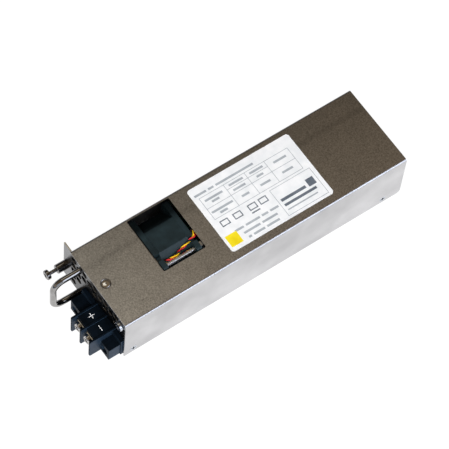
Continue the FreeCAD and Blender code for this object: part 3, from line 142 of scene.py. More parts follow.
def noise(tree, place, size, detail):
    """A soft noise with lumps of a real size."""
    return add(tree, "ShaderNodeTexNoise", {"Vector": place, "Scale": 1 / size, "Detail": detail}).outputs["Fac"]


room = bpy.data.worlds.new("room")
room.use_nodes = True
room_tree = room.node_tree
room_tree.nodes.clear()
direction = add(room_tree, "ShaderNodeTexCoord").outputs["Generated"]
bearing = add(room_tree, "ShaderNodeSeparateXYZ", {"Vector": direction}).outputs
walls = tinted(room_tree, ranged(room_tree, bearing["X"], WALL_SPAN),
               (0.0, 0.45, 0.75, 1.0), ("#231d19", "#4c4744", "#a3afc4", "#dde6f4"))
fronted = blend(room_tree, ranged(room_tree, bearing["Y"], FRONT_SPAN), walls, linear("#aea394"))
banded = blend(room_tree, ranged(room_tree, bearing["Z"], LOW_SPAN), linear("#4a5a72"), fronted)
domed = blend(room_tree, ranged(room_tree, bearing["Z"], ZENITH_SPAN), banded, linear("#635644"))
room_light = add(room_tree, "ShaderNodeBackground", {"Color": domed, "Strength": ROOM_STRENGTH})
add(room_tree, "ShaderNodeOutputWorld", {"Surface": room_light.outputs["Background"]})
scene.world = room


def soft_box(name, place, target, side, watts, tint="#ffffff", shine=True):
    """A square soft light; one without shine isn't mirrored in glossy surfaces."""
    lamp = bpy.data.lights.new(name, "AREA")
    lamp.size = side
    lamp.energy = watts
    lamp.color = linear(tint)[:3]
    stand = bpy.data.objects.new(name, lamp)
    aim = (Vector(target) - Vector(place)).to_track_quat("-Z", "Y")
    stand.matrix_world = Matrix.Translation(place) @ aim.to_matrix().to_4x4()
    stand.visible_glossy = shine
    scene.collection.objects.link(stand)


soft_box("camera_side_box", CAMERA_SIDE, CASE_MIDDLE, side=0.9, watts=30.0, shine=False)
soft_box("camera_side_card", CAMERA_SIDE, CASE_MIDDLE, side=0.7, watts=5.0)
soft_box("pale_side_box", PALE_SIDE, CASE_MIDDLE, side=1.2, watts=9.0, tint="#e3ecff")
soft_box("front_box", OVER_FRONT, CASE_FRONT, side=0.42, watts=0.43, tint="#fffcec")


def start_material(name):
    """A new material with one principled shader."""
    material = bpy.data.materials.new(name)
    material.use_nodes = True
    tree = material.node_tree
    tree.nodes.clear()
    shader = add(tree, "ShaderNodeBsdfPrincipled")
    add(tree, "ShaderNodeOutputMaterial", {"Surface": shader.outputs["BSDF"]})
    return material, tree, shader


def set_values(shader, **values):
    """Set a shader's even values; a name's underscores stand for spaces."""
    for name, setting in values.items():
        shader.inputs[name.replace("_", " ")].default_value = setting


def mesh_of(build, name, material):
    """A finished mesh in one material."""
    mesh = bpy.data.meshes.new(name)
    build.to_mesh(mesh)
    build.free()
    mesh.materials.append(material)
    return mesh


# White acrylic glows evenly, with a faint cloud of unevenness
sweep, tree, shader = start_material("white_acrylic_sweep")
set_values(shader, Roughness=0.6, Emission_Color=linear("#ffffff"), Emission_Strength=1.0)
cloud = noise(tree, add(tree, "ShaderNodeTexCoord").outputs["Object"], FLOOR_CLOUD, 2.0)
tree.links.new(tinted(tree, cloud, NOISE_SPAN, ("#3a3b3c", "#3e3f40")), shader.inputs["Base Color"])

build = bmesh.new()
bmesh.ops.create_grid(build, x_segments=1, y_segments=1, size=FLOOR_SIDE / 2,
                      matrix=Matrix.Translation((0, 0, -FLOOR_DROP)))
floor = bpy.data.objects.new("floor", mesh_of(build, "floor", sweep))
scene.collection.objects.link(floor)

# Base tray: the floor of the case with low side lips and the vented rear wall, folded from one sheet.
# It is bare galvanised steel, sheared and punched, so its edges are slightly broken.
SHEET_EDGE = 0.12 * MM
WELD = 0.001 * MM
FLAT = math.radians(0.4)
CREASE = math.radians(32)
# Painted shade: the steel's colour is painted darker towards the far side of the case and full towards the near
# side.
SHEET_SHADE_DRIFT = ((-30, 0.7), (26, 1.0))
ZINC = ("#a2a1a2", "#e0dfe0")
ZINC_GRAIN = 0.85 * MM
ZINC_CLOUD = 24 * MM
ZINC_RELIEF = 0.05 * MM
ZINC_SPAN = (0.32, 0.68)
ZINC_ROUGHNESS = (0.36, 0.29)
CALM_TONE = 0.5
CLOUD_SHARE = 0.35
GRAIN_SHARE = 0.62
TOP_BEND = (39.2 * MM, 40.0 * MM)
STREAK_REACH = (0.4 * MM, 3.2 * MM)
STREAK_TONE = 0.84


def calc(tree, operation, *values):
    """One math node's result."""
    return add(tree, "ShaderNodeMath", dict(enumerate(values)), operation=operation).outputs[0]


def scaled(tree, vector, scale):
    """A vector or colour times a number."""
    return add(tree, "ShaderNodeVectorMath", {0: vector, "Scale": scale}, operation="SCALE").outputs["Vector"]


def galvanised_sheet(name, dark, light, tones=SHEET_SHADE_DRIFT, streak_mm=None):
    """Galvanised steel: a soft metal shine with pale clouds, zinc grains on the top of the case and a tone that
    drifts between two places across the sheet, which is painted shade. A rolling streak, where a place is given,
    is a darker band.
    The grains are drawn coarser than real ones, so that they show from where the camera stands."""
    material, tree, shader = start_material(name)
    place = add(tree, "ShaderNodeTexCoord").outputs["Object"]
    spot = add(tree, "ShaderNodeSeparateXYZ", {"Vector": place}).outputs
    grain = noise(tree, place, ZINC_GRAIN, 1.0)
    clouds = noise(tree, place, ZINC_CLOUD, 2.0)
    calm = add(tree, "ShaderNodeMix", {"Factor": CLOUD_SHARE, 2: CALM_TONE, 3: clouds}).outputs[0]
    share = ranged(tree, spot["Z"], TOP_BEND, (0.0, GRAIN_SHARE))
    mottle = add(tree, "ShaderNodeMix", {"Factor": share, 2: calm, 3: grain}).outputs[0]
    (first, first_tone), (last, last_tone) = tones
    # Painted shade: this drift of tone darkens the colour across the sheet.
    tone = ranged(tree, spot["X"], (first * MM, last * MM), (first_tone, last_tone))
    if streak_mm is not None:
        away = calc(tree, "ABSOLUTE", calc(tree, "SUBTRACT", spot["X"], streak_mm * MM))
        band = ranged(tree, away, STREAK_REACH, (STREAK_TONE, 1.0), interpolation_type="SMOOTHSTEP")
        tone = calc(tree, "MULTIPLY", tone, band)
    colour = scaled(tree, tinted(tree, mottle, ZINC_SPAN, (dark, light)), tone)
    tree.links.new(colour, shader.inputs["Base Color"])
    tree.links.new(ranged(tree, mottle, (0.0, 1.0), ZINC_ROUGHNESS), shader.inputs["Roughness"])
    bump = add(tree, "ShaderNodeBump", {"Height": grain, "Strength": 0.5, "Distance": ZINC_RELIEF})
    tree.links.new(bump.outputs["Normal"], shader.inputs["Normal"])
    set_values(shader, Metallic=1.0)
    return material


def finish_mesh(build, mesh):
    """Write a mesh whose curves are smooth, with each corner's normal led by the larger faces beside it."""
    build.normal_update()
    areas = {face: face.calc_area() for face in build.faces}
    normals = []
    for face in build.faces:
        face.smooth = True
        for corner in face.loops:
            beside = [other for other in corner.vert.link_faces
                      if other.normal.dot(face.normal) > math.cos(CREASE)]
            normals.append(sum((other.normal * areas[other] for other in beside), Vector()).normalized())
    build.to_mesh(mesh)
    build.free()
    mesh.normals_split_custom_set(normals)


def evaluated_mesh(holder):
    """The plain mesh that an object's modifiers make."""
    return bpy.data.meshes.new_from_object(holder.evaluated_get(bpy.context.evaluated_depsgraph_get()))


def cut_away(mesh, tool):
    """The mesh with the room of the tool taken out."""
    holders = [bpy.data.objects.new("cutting", part) for part in (mesh, tool)]
    for holder in holders:
        scene.collection.objects.link(holder)
    cutting = holders[0].modifiers.new("cutting", "BOOLEAN")
    cutting.object = holders[1]
    cutting.solver = "EXACT"
    cutting.use_self = True
    cutting.material_mode = "TRANSFER"
    result = evaluated_mesh(holders[0])
    for holder in holders:
        bpy.data.objects.remove(holder)
    return result


def worked_copy(node, material, edge=0.0, tool=None):
    """A welded copy of a CAD piece with smooth curves, less the room of a tool, with broken edges of a given
    size. The faces that the tool leaves have the tool's own material."""
    source = frame["nodes"][node]
    build = bmesh.new()
    build.from_mesh(source.data)
    bmesh.ops.remove_doubles(build, verts=build.verts, dist=WELD)
    bmesh.ops.dissolve_limit(build, angle_limit=FLAT, verts=build.verts, edges=build.edges)
    surfaces = [material]
    if tool:
        whole = bpy.data.meshes.new(node + "_whole")
        build.to_mesh(whole)
        whole.materials.append(material)
        rest = cut_away(whole, tool)
        surfaces = list(rest.materials)
        build.clear()
        build.from_mesh(rest)
    if edge:
        sharp = [line for line in build.edges if line.is_manifold and line.calc_face_angle() > CREASE]
        bmesh.ops.bevel(build, geom=sharp, offset=edge, segments=2, profile=0.5, affect="EDGES")
    mesh = bpy.data.meshes.new(node + "_finished")
    finish_mesh(build, mesh)
    for surface in surfaces:
        mesh.materials.append(surface)
    piece = bpy.data.objects.new(node + "_finished", mesh)
    scene.collection.objects.link(piece)
    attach(piece, source["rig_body"])
    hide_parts(node)
    return piece


steel = galvanised_sheet("galvanised_steel", *ZINC)
worked_copy("base_tray", steel, SHEET_EDGE)

# Circuit board: glass laminate under green resist, with a gold-plated contact tongue at the rear.
# It stands on hexagonal brass standoffs, nickel plated and riveted into the floor.
METAL_SPREAD = 0.25
MOULD_SPREAD = 0.08
MOULD_CLOUD = 6 * MM
MOULD_GLOSS = 0.3


def metal(name, dark, light, roughness, grain_mm):
    """A plated or bare metal: its shine varies a little over grains of the given size."""
    material, tree, shader = start_material(name)
    grain = noise(tree, add(tree, "ShaderNodeTexCoord").outputs["Object"], grain_mm * MM, 3.0)
    tree.links.new(tinted(tree, grain, NOISE_SPAN, (dark, light)), shader.inputs["Base Color"])
    dull = ranged(tree, grain, NOISE_SPAN, (roughness * (1 + METAL_SPREAD), roughness * (1 - METAL_SPREAD)))
    tree.links.new(dull, shader.inputs["Roughness"])
    set_values(shader, Metallic=1.0)
    return material


def moulding(name, dark, light, roughness, grain_mm, relief_mm, tones=None, **values):
    """A moulded or coated non-metal: uneven colour and a fine texture of the given grain and relief.
    Its tone and gloss drift between two places across the piece, where they are given: painted shade."""
    material, tree, shader = start_material(name)
    place = add(tree, "ShaderNodeTexCoord").outputs["Object"]
    grain = noise(tree, place, grain_mm * MM, 4.0)
    colour = tinted(tree, noise(tree, place, MOULD_CLOUD, 2.0), NOISE_SPAN, (dark, light))
    # Painted shade: where tones are given, colour and gloss darken across the piece.
    if tones:
        (first, first_tone), (last, last_tone) = tones
        across = add(tree, "ShaderNodeSeparateXYZ", {"Vector": place}).outputs["X"]
        drift = ranged(tree, across, (first * MM, last * MM), (first_tone, last_tone))
        colour = scaled(tree, colour, drift)
        tree.links.new(calc(tree, "MULTIPLY", drift, MOULD_GLOSS), shader.inputs["Specular IOR Level"])
    tree.links.new(colour, shader.inputs["Base Color"])
    dull = ranged(tree, grain, NOISE_SPAN, (roughness - MOULD_SPREAD, roughness + MOULD_SPREAD))
    tree.links.new(dull, shader.inputs["Roughness"])
    bump = add(tree, "ShaderNodeBump", {"Height": grain, "Strength": 0.3, "Distance": relief_mm * MM})
    tree.links.new(bump.outputs["Normal"], shader.inputs["Normal"])
    set_values(shader, **values)
    return material


# Resist is deep green and half glossy, gold warm and bright, plated brass pale with a soft shine
laminate = moulding("green_solder_resist", "#0e3f22", "#1a6136", 0.34, 1.6, 0.03)
gold = metal("gold_plate", "#c99a3a", "#e6c06a", 0.22, 0.8)
nickel_brass = metal("nickel_plated_brass", "#a8a39a", "#c9c4ba", 0.26, 1.2)
worked_copy("main_board", laminate)
worked_copy("edge_contacts", gold)
worked_copy("board_standoffs", nickel_brass)

# Parts soldered on the board: ferrites with copper and tape windings, sleeved capacitors,
# extruded heat sinks with moulded power packages, and two control chips.
# Ferrite is dull grey-black, enamelled wire warm and shiny, sleeves glossy and nearly black
ferrite = moulding("sintered_ferrite", "#26272a", "#37383b", 0.62, 0.6, 0.04)
copper = metal("enamelled_copper", "#8a3f1c", "#c06a36", 0.3, 0.9)
sleeve = moulding("shrink_sleeve", "#14141c", "#22222e", 0.28, 3.0, 0.02)
# Extruded aluminium is pale and satin, epoxy matt black, tape glossy yellow, nylon milky
aluminium = metal("extruded_aluminium", "#9a9da1", "#bdc0c4", 0.42, 0.7)
package = moulding("epoxy_package", "#101011", "#1b1b1d", 0.55, 0.5, 0.02)
tape = moulding("polyester_tape", "#b8930f", "#d9b52a", 0.3, 4.0, 0.03)
nylon = moulding("natural_nylon", "#d8d2c2", "#ece7da", 0.42, 1.0, 0.02)
for node, material, slot in (
    ("choke_core", ferrite, "ferrite"),
    ("choke_windings", copper, "copper_wire"),
    ("input_capacitors", sleeve, "can_sleeve"),
    ("output_capacitors", sleeve, "can_sleeve"),
    ("primary_heatsink", aluminium, "sink_aluminium"),
    ("secondary_heatsink", aluminium, "sink_aluminium"),
    ("power_transistors", package, "chip_plastic"),
    ("rectifiers", package, "chip_plastic"),
    ("transformer_core", ferrite, "ferrite"),
    ("transformer_winding", tape, "winding_tape"),
    ("control_chips", package, "chip_plastic"),
    ("fan_header", nylon, "white_plastic"),
    ("fan_plug", nylon, "white_plastic"),
):
    worked_copy(node, material)

# Fan: a deep square frame and impeller moulded in black glass-filled polyester.
# The motor sits in the hub on a steel shaft in a bronze sleeve bearing.
MOULD_EDGE = 0.2 * MM
# The frame is matt and greenish black, painted darker on its far side as painted shade; the blades are
# blue-black
fan_black = moulding("fan_polyester", "#152023", "#1f2d31", 0.46, 0.45, 0.03, tones=((-20, 0.2), (-13, 1.0)))
impeller_black = moulding("impeller_polyester", "#080e16", "#0f1824", 0.4, 0.45, 0.02, Specular_IOR_Level=0.3)
# Core sheet is dull grey, the ground shaft nearly a mirror, bronze a dull gold, the magnet matt grey
core_steel = metal("laminated_core_steel", "#5d5f63", "#808388", 0.45, 0.5)
shaft_steel = metal("ground_steel", "#b4b6b9", "#d2d4d6", 0.14, 0.6)
bronze = metal("sintered_bronze", "#8f6a3a", "#b58d55", 0.4, 0.4)
magnet = moulding("bonded_magnet", "#2b2a29", "#3a3937", 0.6, 0.5, 0.02)
worked_copy("fan_frame", fan_black, MOULD_EDGE)
for node, material, slot in (
    ("fan_impeller", impeller_black, "fan_plastic"),
    ("fan_shaft", shaft_steel, "nickel_steel"),
    ("fan_bearing", bronze, "contact_brass"),
    ("fan_magnet", magnet, "ferrite"),
    ("fan_stator", core_steel, "core_steel"),
    ("fan_coils", copper, "copper_wire"),
):
    worked_copy(node, material)

# Fan bracket with its long bolts and nuts: a galvanised plate on two feet, and two bright zinc-plated M3 bolts
# on a diagonal. A rolled thread runs along the last part of each bolt.
THREAD_PITCH = 0.5 * MM
THREAD_RIDGE = 0.14 * MM
THREAD_STEPS = 14
THREAD_SIDES = 3
BOLT_RADIUS = 1.5 * MM
BOLT_PITCH = 32 * MM
BOLT_THREAD = 6 * MM
BOLT_PAST_FRAME = 2 * MM
# Bright zinc has a cold pale shine; along a rolled shank the light spreads into an even pale line
zinc = metal("bright_zinc", "#b4b9c2", "#d3d8df", 0.18, 0.7)
rolled_zinc = metal("bright_zinc_on_rolled_steel", "#eceff4", "#f4f6f9", 0.43, 30.0)
worked_copy("fan_bracket", steel, SHEET_EDGE)
worked_copy("fan_bolts", rolled_zinc)
worked_copy("fan_nuts", zinc, SHEET_EDGE)


def new_tree(name, inputs):
    """A geometry tree with named inputs, given as pairs of name and socket kind."""
    tree = bpy.data.node_groups.new(name, "GeometryNodeTree")
    tree.interface.new_socket("Geometry", in_out="OUTPUT", socket_type="NodeSocketGeometry")
    for label, kind in inputs:
        tree.interface.new_socket(label, in_out="INPUT", socket_type="NodeSocket" + kind)
    given = add(tree, "NodeGroupInput").outputs
    return tree, given


def close_tree(tree, geometry, material):
    """End a geometry tree with plain geometry in one material."""
    plain = add(tree, "GeometryNodeRealizeInstances", {"Geometry": geometry}).outputs["Geometry"]
    painted = add(tree, "GeometryNodeSetMaterial", {"Geometry": plain, "Material": material})
    add(tree, "NodeGroupOutput", {"Geometry": painted.outputs["Geometry"]})


def grown_mesh(name, tree, base_mesh, values):
    """Run a geometry tree with its named inputs and return the plain mesh."""
    holder = bpy.data.objects.new(name, base_mesh)
    scene.collection.objects.link(holder)
    growth = holder.modifiers.new(tree.name, "NODES")
    growth.node_group = tree
    for item in tree.interface.items_tree:
        if item.in_out == "INPUT" and item.name in values:
            growth[item.identifier] = values[item.name]
    finished = evaluated_mesh(holder)
    finished.name = name
    bpy.data.objects.remove(holder)
    return finished


def place_piece(name, mesh, body):
    """Add a piece that rides on a body."""
    piece = bpy.data.objects.new(name, mesh)
    scene.collection.objects.link(piece)
    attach(piece, body)
    return piece


thread_tree, given = new_tree("rolled_thread", [
    ("Turns", "Float"), ("Radius", "Float"), ("Length", "Float"), ("Ridge", "Float"), ("Finish", "Material"),
])
helix = add(thread_tree, "GeometryNodeCurveSpiral", {
    "Resolution": THREAD_STEPS, "Rotations": given["Turns"], "Start Radius": given["Radius"],
    "End Radius": given["Radius"], "Height": given["Length"],
})
ridge = add(thread_tree, "GeometryNodeCurvePrimitiveCircle", {
    "Resolution": THREAD_SIDES, "Radius": given["Ridge"],
})
crest = add(thread_tree, "GeometryNodeCurveToMesh", {
    "Curve": helix.outputs["Curve"], "Profile Curve": ridge.outputs["Curve"], "Fill Caps": True,
})
close_tree(thread_tree, crest.outputs["Mesh"], given["Finish"])


def thread(name, start, length, radius, body, material):
    """A rolled thread along +Y from a start point, as a ridge round a screw's shank."""
    values = {"Turns": length / THREAD_PITCH, "Radius": radius, "Length": length, "Ridge": THREAD_RIDGE,
              "Finish": material}
    mesh = grown_mesh(name, thread_tree, bpy.data.meshes.new(name + "_start"), values)
    mesh.transform(Matrix.Translation(start) @ Matrix.Rotation(-math.pi / 2, 4, "X"))
    return place_piece(name, mesh, body)


frame_low, frame_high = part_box("fan_frame")
fan_middle = (frame_low + frame_high) / 2
for number, corner in enumerate((-1, 1), start=1):
    aside = corner * BOLT_PITCH / 2
    start = (fan_middle.x + aside, frame_high.y + BOLT_PAST_FRAME - BOLT_THREAD, fan_middle.z + aside)
    thread(f"fan_bolt_thread_{number}", start, BOLT_THREAD, BOLT_RADIUS - THREAD_RIDGE / 4,
           "chassis", zinc)

# Fan lead: three PVC wires, yellow, red and black, twisted together. It leaves the frame by the notch of the
# front flange, crosses to the notch of the rear flange and drops to its plug.
WIRE_RADIUS = 0.46 * MM
WIRE_LAY_RADIUS = 0.54 * MM
WIRE_LAY_LENGTH = 10 * MM
WIRE_STEP = 0.5 * MM
WIRE_SIDES = 10
ROUTE_STEPS = 16
LEAD_POINTS_MM = [
    (4.9, -60.5, 36.5),
    (6.2, -57.0, 36.3),
    (4.8, -49.5, 36.6),
    (2.4, -42.0, 37.4),
    (1.5, -37.4, 38.0),
    (1.2, -35.0, 38.0),
    (-1.0, -35.0, 38.2),
    (-3.8, -34.0, 37.8),
    (-4.2, -31.5, 35.5),
    (-1.0, -28.0, 30.5),
    (4.5, -24.0, 24.0),
    (6.6, -22.2, 18.5),
    (6.6, -22.2, 14.1),
]


def wire_coating(name, dark, light):
    """Soft PVC: an even colour with a low wax-like shine."""
    return moulding(name, dark, light, 0.36, 1.2, 0.01)


route = bpy.data.curves.new("lead_route", "CURVE")
route.dimensions = "3D"
spline = route.splines.new("NURBS")
spline.points.add(len(LEAD_POINTS_MM) - 1)
for point, spot in zip(spline.points, LEAD_POINTS_MM):
    point.co = (*(MM * share for share in spot), 1.0)
spline.order_u = 3
spline.use_endpoint_u = True
spline.resolution_u = ROUTE_STEPS
route_holder = bpy.data.objects.new("lead_route", route)
scene.collection.objects.link(route_holder)
lead_line = evaluated_mesh(route_holder)
bpy.data.objects.remove(route_holder)

strand_tree, given = new_tree("twisted_strand", [
    ("Geometry", "Geometry"), ("Lay radius", "Float"), ("Lay length", "Float"), ("Wire radius", "Float"),
    ("Phase", "Float"), ("Coating", "Material"),
])
line = add(strand_tree, "GeometryNodeMeshToCurve", {"Mesh": given["Geometry"]}).outputs["Curve"]
even = add(strand_tree, "GeometryNodeResampleCurve", {"Curve": line, "Length": WIRE_STEP}, mode="LENGTH")
steady = add(strand_tree, "GeometryNodeSetCurveNormal", {"Curve": even.outputs["Curve"]})
along = add(strand_tree, "GeometryNodeSplineParameter").outputs["Length"]
turns = calc(strand_tree, "DIVIDE", along, given["Lay length"])
angle = calc(strand_tree, "MULTIPLY_ADD", turns, math.tau, given["Phase"])
normal = add(strand_tree, "GeometryNodeInputNormal").outputs["Normal"]
tangent = add(strand_tree, "GeometryNodeInputTangent").outputs["Tangent"]
across = add(strand_tree, "ShaderNodeVectorMath", {0: tangent, 1: normal}, operation="CROSS_PRODUCT").outputs[0]
out_part = scaled(strand_tree, normal, calc(strand_tree, "COSINE", angle))
side_part = scaled(strand_tree, across, calc(strand_tree, "SINE", angle))
spoke = add(strand_tree, "ShaderNodeVectorMath", {0: out_part, 1: side_part}, operation="ADD").outputs[0]
offset = scaled(strand_tree, spoke, given["Lay radius"])
laid = add(strand_tree, "GeometryNodeSetPosition", {"Geometry": steady.outputs["Curve"], "Offset": offset})
section = add(strand_tree, "GeometryNodeCurvePrimitiveCircle", {
    "Resolution": WIRE_SIDES, "Radius": given["Wire radius"],
})
wire = add(strand_tree, "GeometryNodeCurveToMesh", {
    "Curve": laid.outputs["Geometry"], "Profile Curve": section.outputs["Curve"], "Fill Caps": True,
})
close_tree(strand_tree, wire.outputs["Mesh"], given["Coating"])

for number, (colour, dark, light) in enumerate((
    ("yellow", "#d9a90c", "#f6cf22"), ("red", "#a5121c", "#d92a30"), ("black", "#0d0d10", "#19191d"),
)):
    coating = wire_coating(f"{colour}_pvc", dark, light)
    values = {"Lay radius": WIRE_LAY_RADIUS, "Lay length": WIRE_LAY_LENGTH, "Wire radius": WIRE_RADIUS,
              "Phase": number / 3 * math.tau, "Coating": coating}
    mesh = grown_mesh(f"fan_wire_{colour}", strand_tree, lead_line, values)
    mesh.shade_smooth()
    place_piece(f"fan_wire_{colour}", mesh, "chassis")
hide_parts("fan_lead")

# Front panel: a perforated sheet that runs on past the case as the fixing flange.
# It is bright plated steel. Round the punched holes its colour is painted much darker than on the flange, a
# painted shade and reflection, and the faces that look up are painted paler, a painted highlight.
FACING = 0.5


def second_finish(piece, material, chosen):
    """Give the faces that a test chooses a second material."""
    piece.data.materials.append(material)
    for face in piece.data.polygons:
        face.material_index = 1 if chosen(face) else 0


# Bright plate mirrors the room on the flange; the faces that look up are a thin pale line, a painted highlight
# Painted shade and reflection: past the flange the plate's colour is painted much darker.
bright_steel = galvanised_sheet("bright_plated_steel", "#9a9a9c", "#b4b5b8", tones=((-32, 0.52), (-28, 0.17)))
upward_faces_painted_highlight = galvanised_sheet("upward_faces_painted_highlight", "#dcdad7", "#efedea", tones=((-30, 0.9), (26, 1.0)))
panel = worked_copy("front_panel", bright_steel, SHEET_EDGE)
# Painted highlight: the faces that look up take the paler copy of the plate.
second_finish(panel, upward_faces_painted_highlight, lambda face: face.normal.z > FACING)

# Handle: a round steel bar bent twice, with its ends staked into the panel.
# It is polished and chrome plated, so it mirrors the room in dark and pale bands.
chrome = metal("chrome_plate", "#939290", "#a2a1a0", 0.08, 2.5)
worked_copy("handle", chrome)

# Captive screw of the flange: a turned barrel pressed into the sheet, the ring that keeps the screw, and the
# screw. All three are turned and nickel plated, so they are bright with dark reflections.
turned_nickel = metal("turned_nickel_plate", "#74716f", "#8d8b8c", 0.14, 1.6)
for node in ("captive_screw_barrel", "captive_screw_ring", "captive_screw"):
    worked_copy(node, turned_nickel)

# Terminal block: one black glass-filled moulding with barriers between the poles, screwed to the panel.
# A plus and a minus sign are printed in white on its deck behind the poles.
BLOCK_EDGE = 0.22 * MM
MARK_LENGTH = 4.2 * MM
MARK_WIDTH = 0.45 * MM
MARK_RELIEF = 0.03 * MM
MARK_FROM_FRONT = 11.4 * MM
DECK_BELOW_BARRIER = 1.0 * MM
# The deck is blue-black with a soft bloom at low angles; the faces that look toward the near side are a lighter,
# bluer copy of the moulding, a painted light
block_black = moulding("terminal_polyester", "#060a0f", "#0b121a", 0.42, 0.4, 0.03, Specular_IOR_Level=0.03,
                       Sheen_Weight=0.45, Sheen_Roughness=0.25, Sheen_Tint=linear("#5f7f9f"))
near_faces_painted_light = moulding("terminal_polyester_near_faces_painted_light", "#1b2836", "#233242", 0.42, 0.4, 0.03,
                        Specular_IOR_Level=0.1)
block = worked_copy("terminal_block", block_black, BLOCK_EDGE)
# Painted light: the faces that look toward the near side take the lighter, bluer copy.
second_finish(block, near_faces_painted_light, lambda face: face.normal.x > FACING)

# White ink is chalky and even
ink = moulding("white_print", "#d9dcdf", "#f4f5f6", 0.5, 0.6, 0.005)
block_low, block_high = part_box("terminal_block")
deck = block_high.z - DECK_BELOW_BARRIER
for pole, strokes in (("positive", ((1, 0), (0, 1))), ("negative", ((1, 0),))):
    clamp_low, clamp_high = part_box("clamp_plate_" + pole)
    middle = Vector(((clamp_low.x + clamp_high.x) / 2, block_low.y + MARK_FROM_FRONT, deck + MARK_RELIEF / 2))
    build = bmesh.new()
    for along_x, along_y in strokes:
        size = (MARK_LENGTH if along_x else MARK_WIDTH, MARK_LENGTH if along_y else MARK_WIDTH, MARK_RELIEF)
        bmesh.ops.create_cube(build, size=1.0, matrix=Matrix.Translation(middle) @ Matrix.Diagonal((*size, 1.0)))
    place_piece(f"{pole}_mark", mesh_of(build, f"{pole}_mark", ink), "chassis")

# Contacts, clamp plates and terminal screws: each pole has a drawn brass contact that runs back through the
# panel, a square plated clamp plate with two lips, and a large nickel-plated screw that moves the plate.
# Nickel is bright and slightly warm, the clamps a little duller, bare brass yellow and satin
nickel = metal("nickel_plate", "#a7a5a3", "#c8c6c4", 0.16, 1.4)
clamp_brass = metal("nickel_plated_clamp", "#a29d96", "#c6c1ba", 0.22, 0.9)
contact_brass = metal("drawn_brass", "#957638", "#c1a05a", 0.32, 0.9)
for pole in ("positive", "negative"):
    worked_copy("contact_" + pole, contact_brass, SHEET_EDGE)
    worked_copy("clamp_plate_" + pole, clamp_brass, SHEET_EDGE)
    worked_copy("terminal_screw_" + pole, nickel, SHEET_EDGE)

# Mounting screws of the block and the earth screw with its washer: zinc-plated steel, threaded into the panel.
# All have cross recesses, pressed in when their heads were formed; those of the mounting screws are cut here.
MOUNT_RECESS = 0.8 * MM
MOUNT_CROSS = (3.2 * MM, 0.8 * MM)
# Inside a recess the plating is painted dark, a painted shade, and dull
recess = metal("recess_painted_shade", "#2a2c30", "#3b3e43", 0.5, 0.8)


def add_cross(build, place, arms, depth):
    """Two bars that cross at a place and reach in along its -Z by a depth."""
    for length, width in (arms, arms[::-1]):
        bmesh.ops.create_cube(build, size=1.0, matrix=place @ Matrix.Diagonal((length, width, 2 * depth, 1.0)))


mount_low, mount_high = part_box("terminal_mount_screws")
mount_radius = (mount_high.z - mount_low.z) / 2
facing_front = Matrix.Rotation(math.pi / 2, 4, "X")
crosses = bmesh.new()
for across in (mount_low.x + mount_radius, mount_high.x - mount_radius):
    head = Matrix.Translation((across, mount_low.y, mount_low.z + mount_radius)) @ facing_front
    add_cross(crosses, head, MOUNT_CROSS, MOUNT_RECESS)
mount_tool = mesh_of(crosses, "mount_crosses", recess)
worked_copy("terminal_mount_screws", zinc, SHEET_EDGE, mount_tool)
for node in ("earth_screw", "earth_washer"):
    worked_copy(node, zinc, SHEET_EDGE)

# Top cover: an inverted U of galvanised sheet with the fan window and a dimple for its raised countersunk screw.
# Two flush screws through each side wall hold it to the tray's lips; each sits in a countersink.
FLUSH_HEAD = 2.4 * MM
FLUSH_SHANK = 1.25 * MM
FLUSH_RISE = 4.0 * MM
FLUSH_FROM_FRONT = 6.9 * MM
FLUSH_FROM_REAR = 14.1 * MM
FLUSH_SUNK = 0.08 * MM
FLUSH_GAP = 0.1 * MM
FLUSH_RECESS = 0.7 * MM
FLUSH_CROSS = (3.3 * MM, 0.8 * MM)
WALL = 1.0 * MM
STREAK_PLACE_MM = -15.2
DIMPLE_RADIUS = 3.3 * MM
DIMPLE_SLOPE = 0.97
CROWN_RADIUS = 2.7 * MM
CROWN_RISE = 0.55 * MM
CROWN_CROSS = (1.0 * MM, 0.3 * MM)
CROWN_RECESS = 0.6 * CROWN_RISE
COVER_EDGE = 0.25 * MM


def frustum(build, place, outer, inner, depth):
    """A cone whose wide end is at the place and whose axis runs in along its own -Z."""
    bmesh.ops.create_cone(build, cap_ends=True, segments=40, radius1=inner, radius2=outer, depth=depth,
                          matrix=place @ Matrix.Translation((0, 0, -depth / 2)))


# The cover's steel has a faint rolling streak; inside the dimple it is painted darker, a painted shade
cover_steel = galvanised_sheet("galvanised_cover_steel", *ZINC, streak_mm=STREAK_PLACE_MM)
dimple_steel_painted_shade = galvanised_sheet("dimple_steel_painted_shade", "#8f8a84", "#a39f99", tones=((-30, 0.7), (26, 0.8)))
cover_low, cover_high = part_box("top_cover")
flush_places = [
    Matrix.Translation((face, row, FLUSH_RISE)) @ Matrix.Rotation(turn, 4, "Y")
    for face, turn in ((cover_low.x, -math.pi / 2), (cover_high.x, math.pi / 2))
    for row in (cover_low.y + FLUSH_FROM_FRONT, cover_high.y - FLUSH_FROM_REAR)
]
sinks, heads, crosses = bmesh.new(), bmesh.new(), bmesh.new()
slope = (FLUSH_HEAD - FLUSH_SHANK) / WALL
for place in flush_places:
    lifted = place @ Matrix.Translation((0, 0, WALL))
    frustum(sinks, lifted, FLUSH_HEAD + slope * WALL + FLUSH_GAP, FLUSH_SHANK + FLUSH_GAP, 2 * WALL)
    seat = place @ Matrix.Translation((0, 0, -FLUSH_SUNK))
    frustum(heads, seat, FLUSH_HEAD, FLUSH_SHANK + slope * FLUSH_SUNK, WALL - FLUSH_SUNK)
    add_cross(crosses, seat, FLUSH_CROSS, FLUSH_RECESS)
sink_tool = mesh_of(sinks, "sinks", cover_steel)
cover = worked_copy("top_cover", cover_steel, COVER_EDGE, sink_tool)
screw_low, screw_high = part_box("cover_screw")
screw_middle = (screw_low + screw_high) / 2
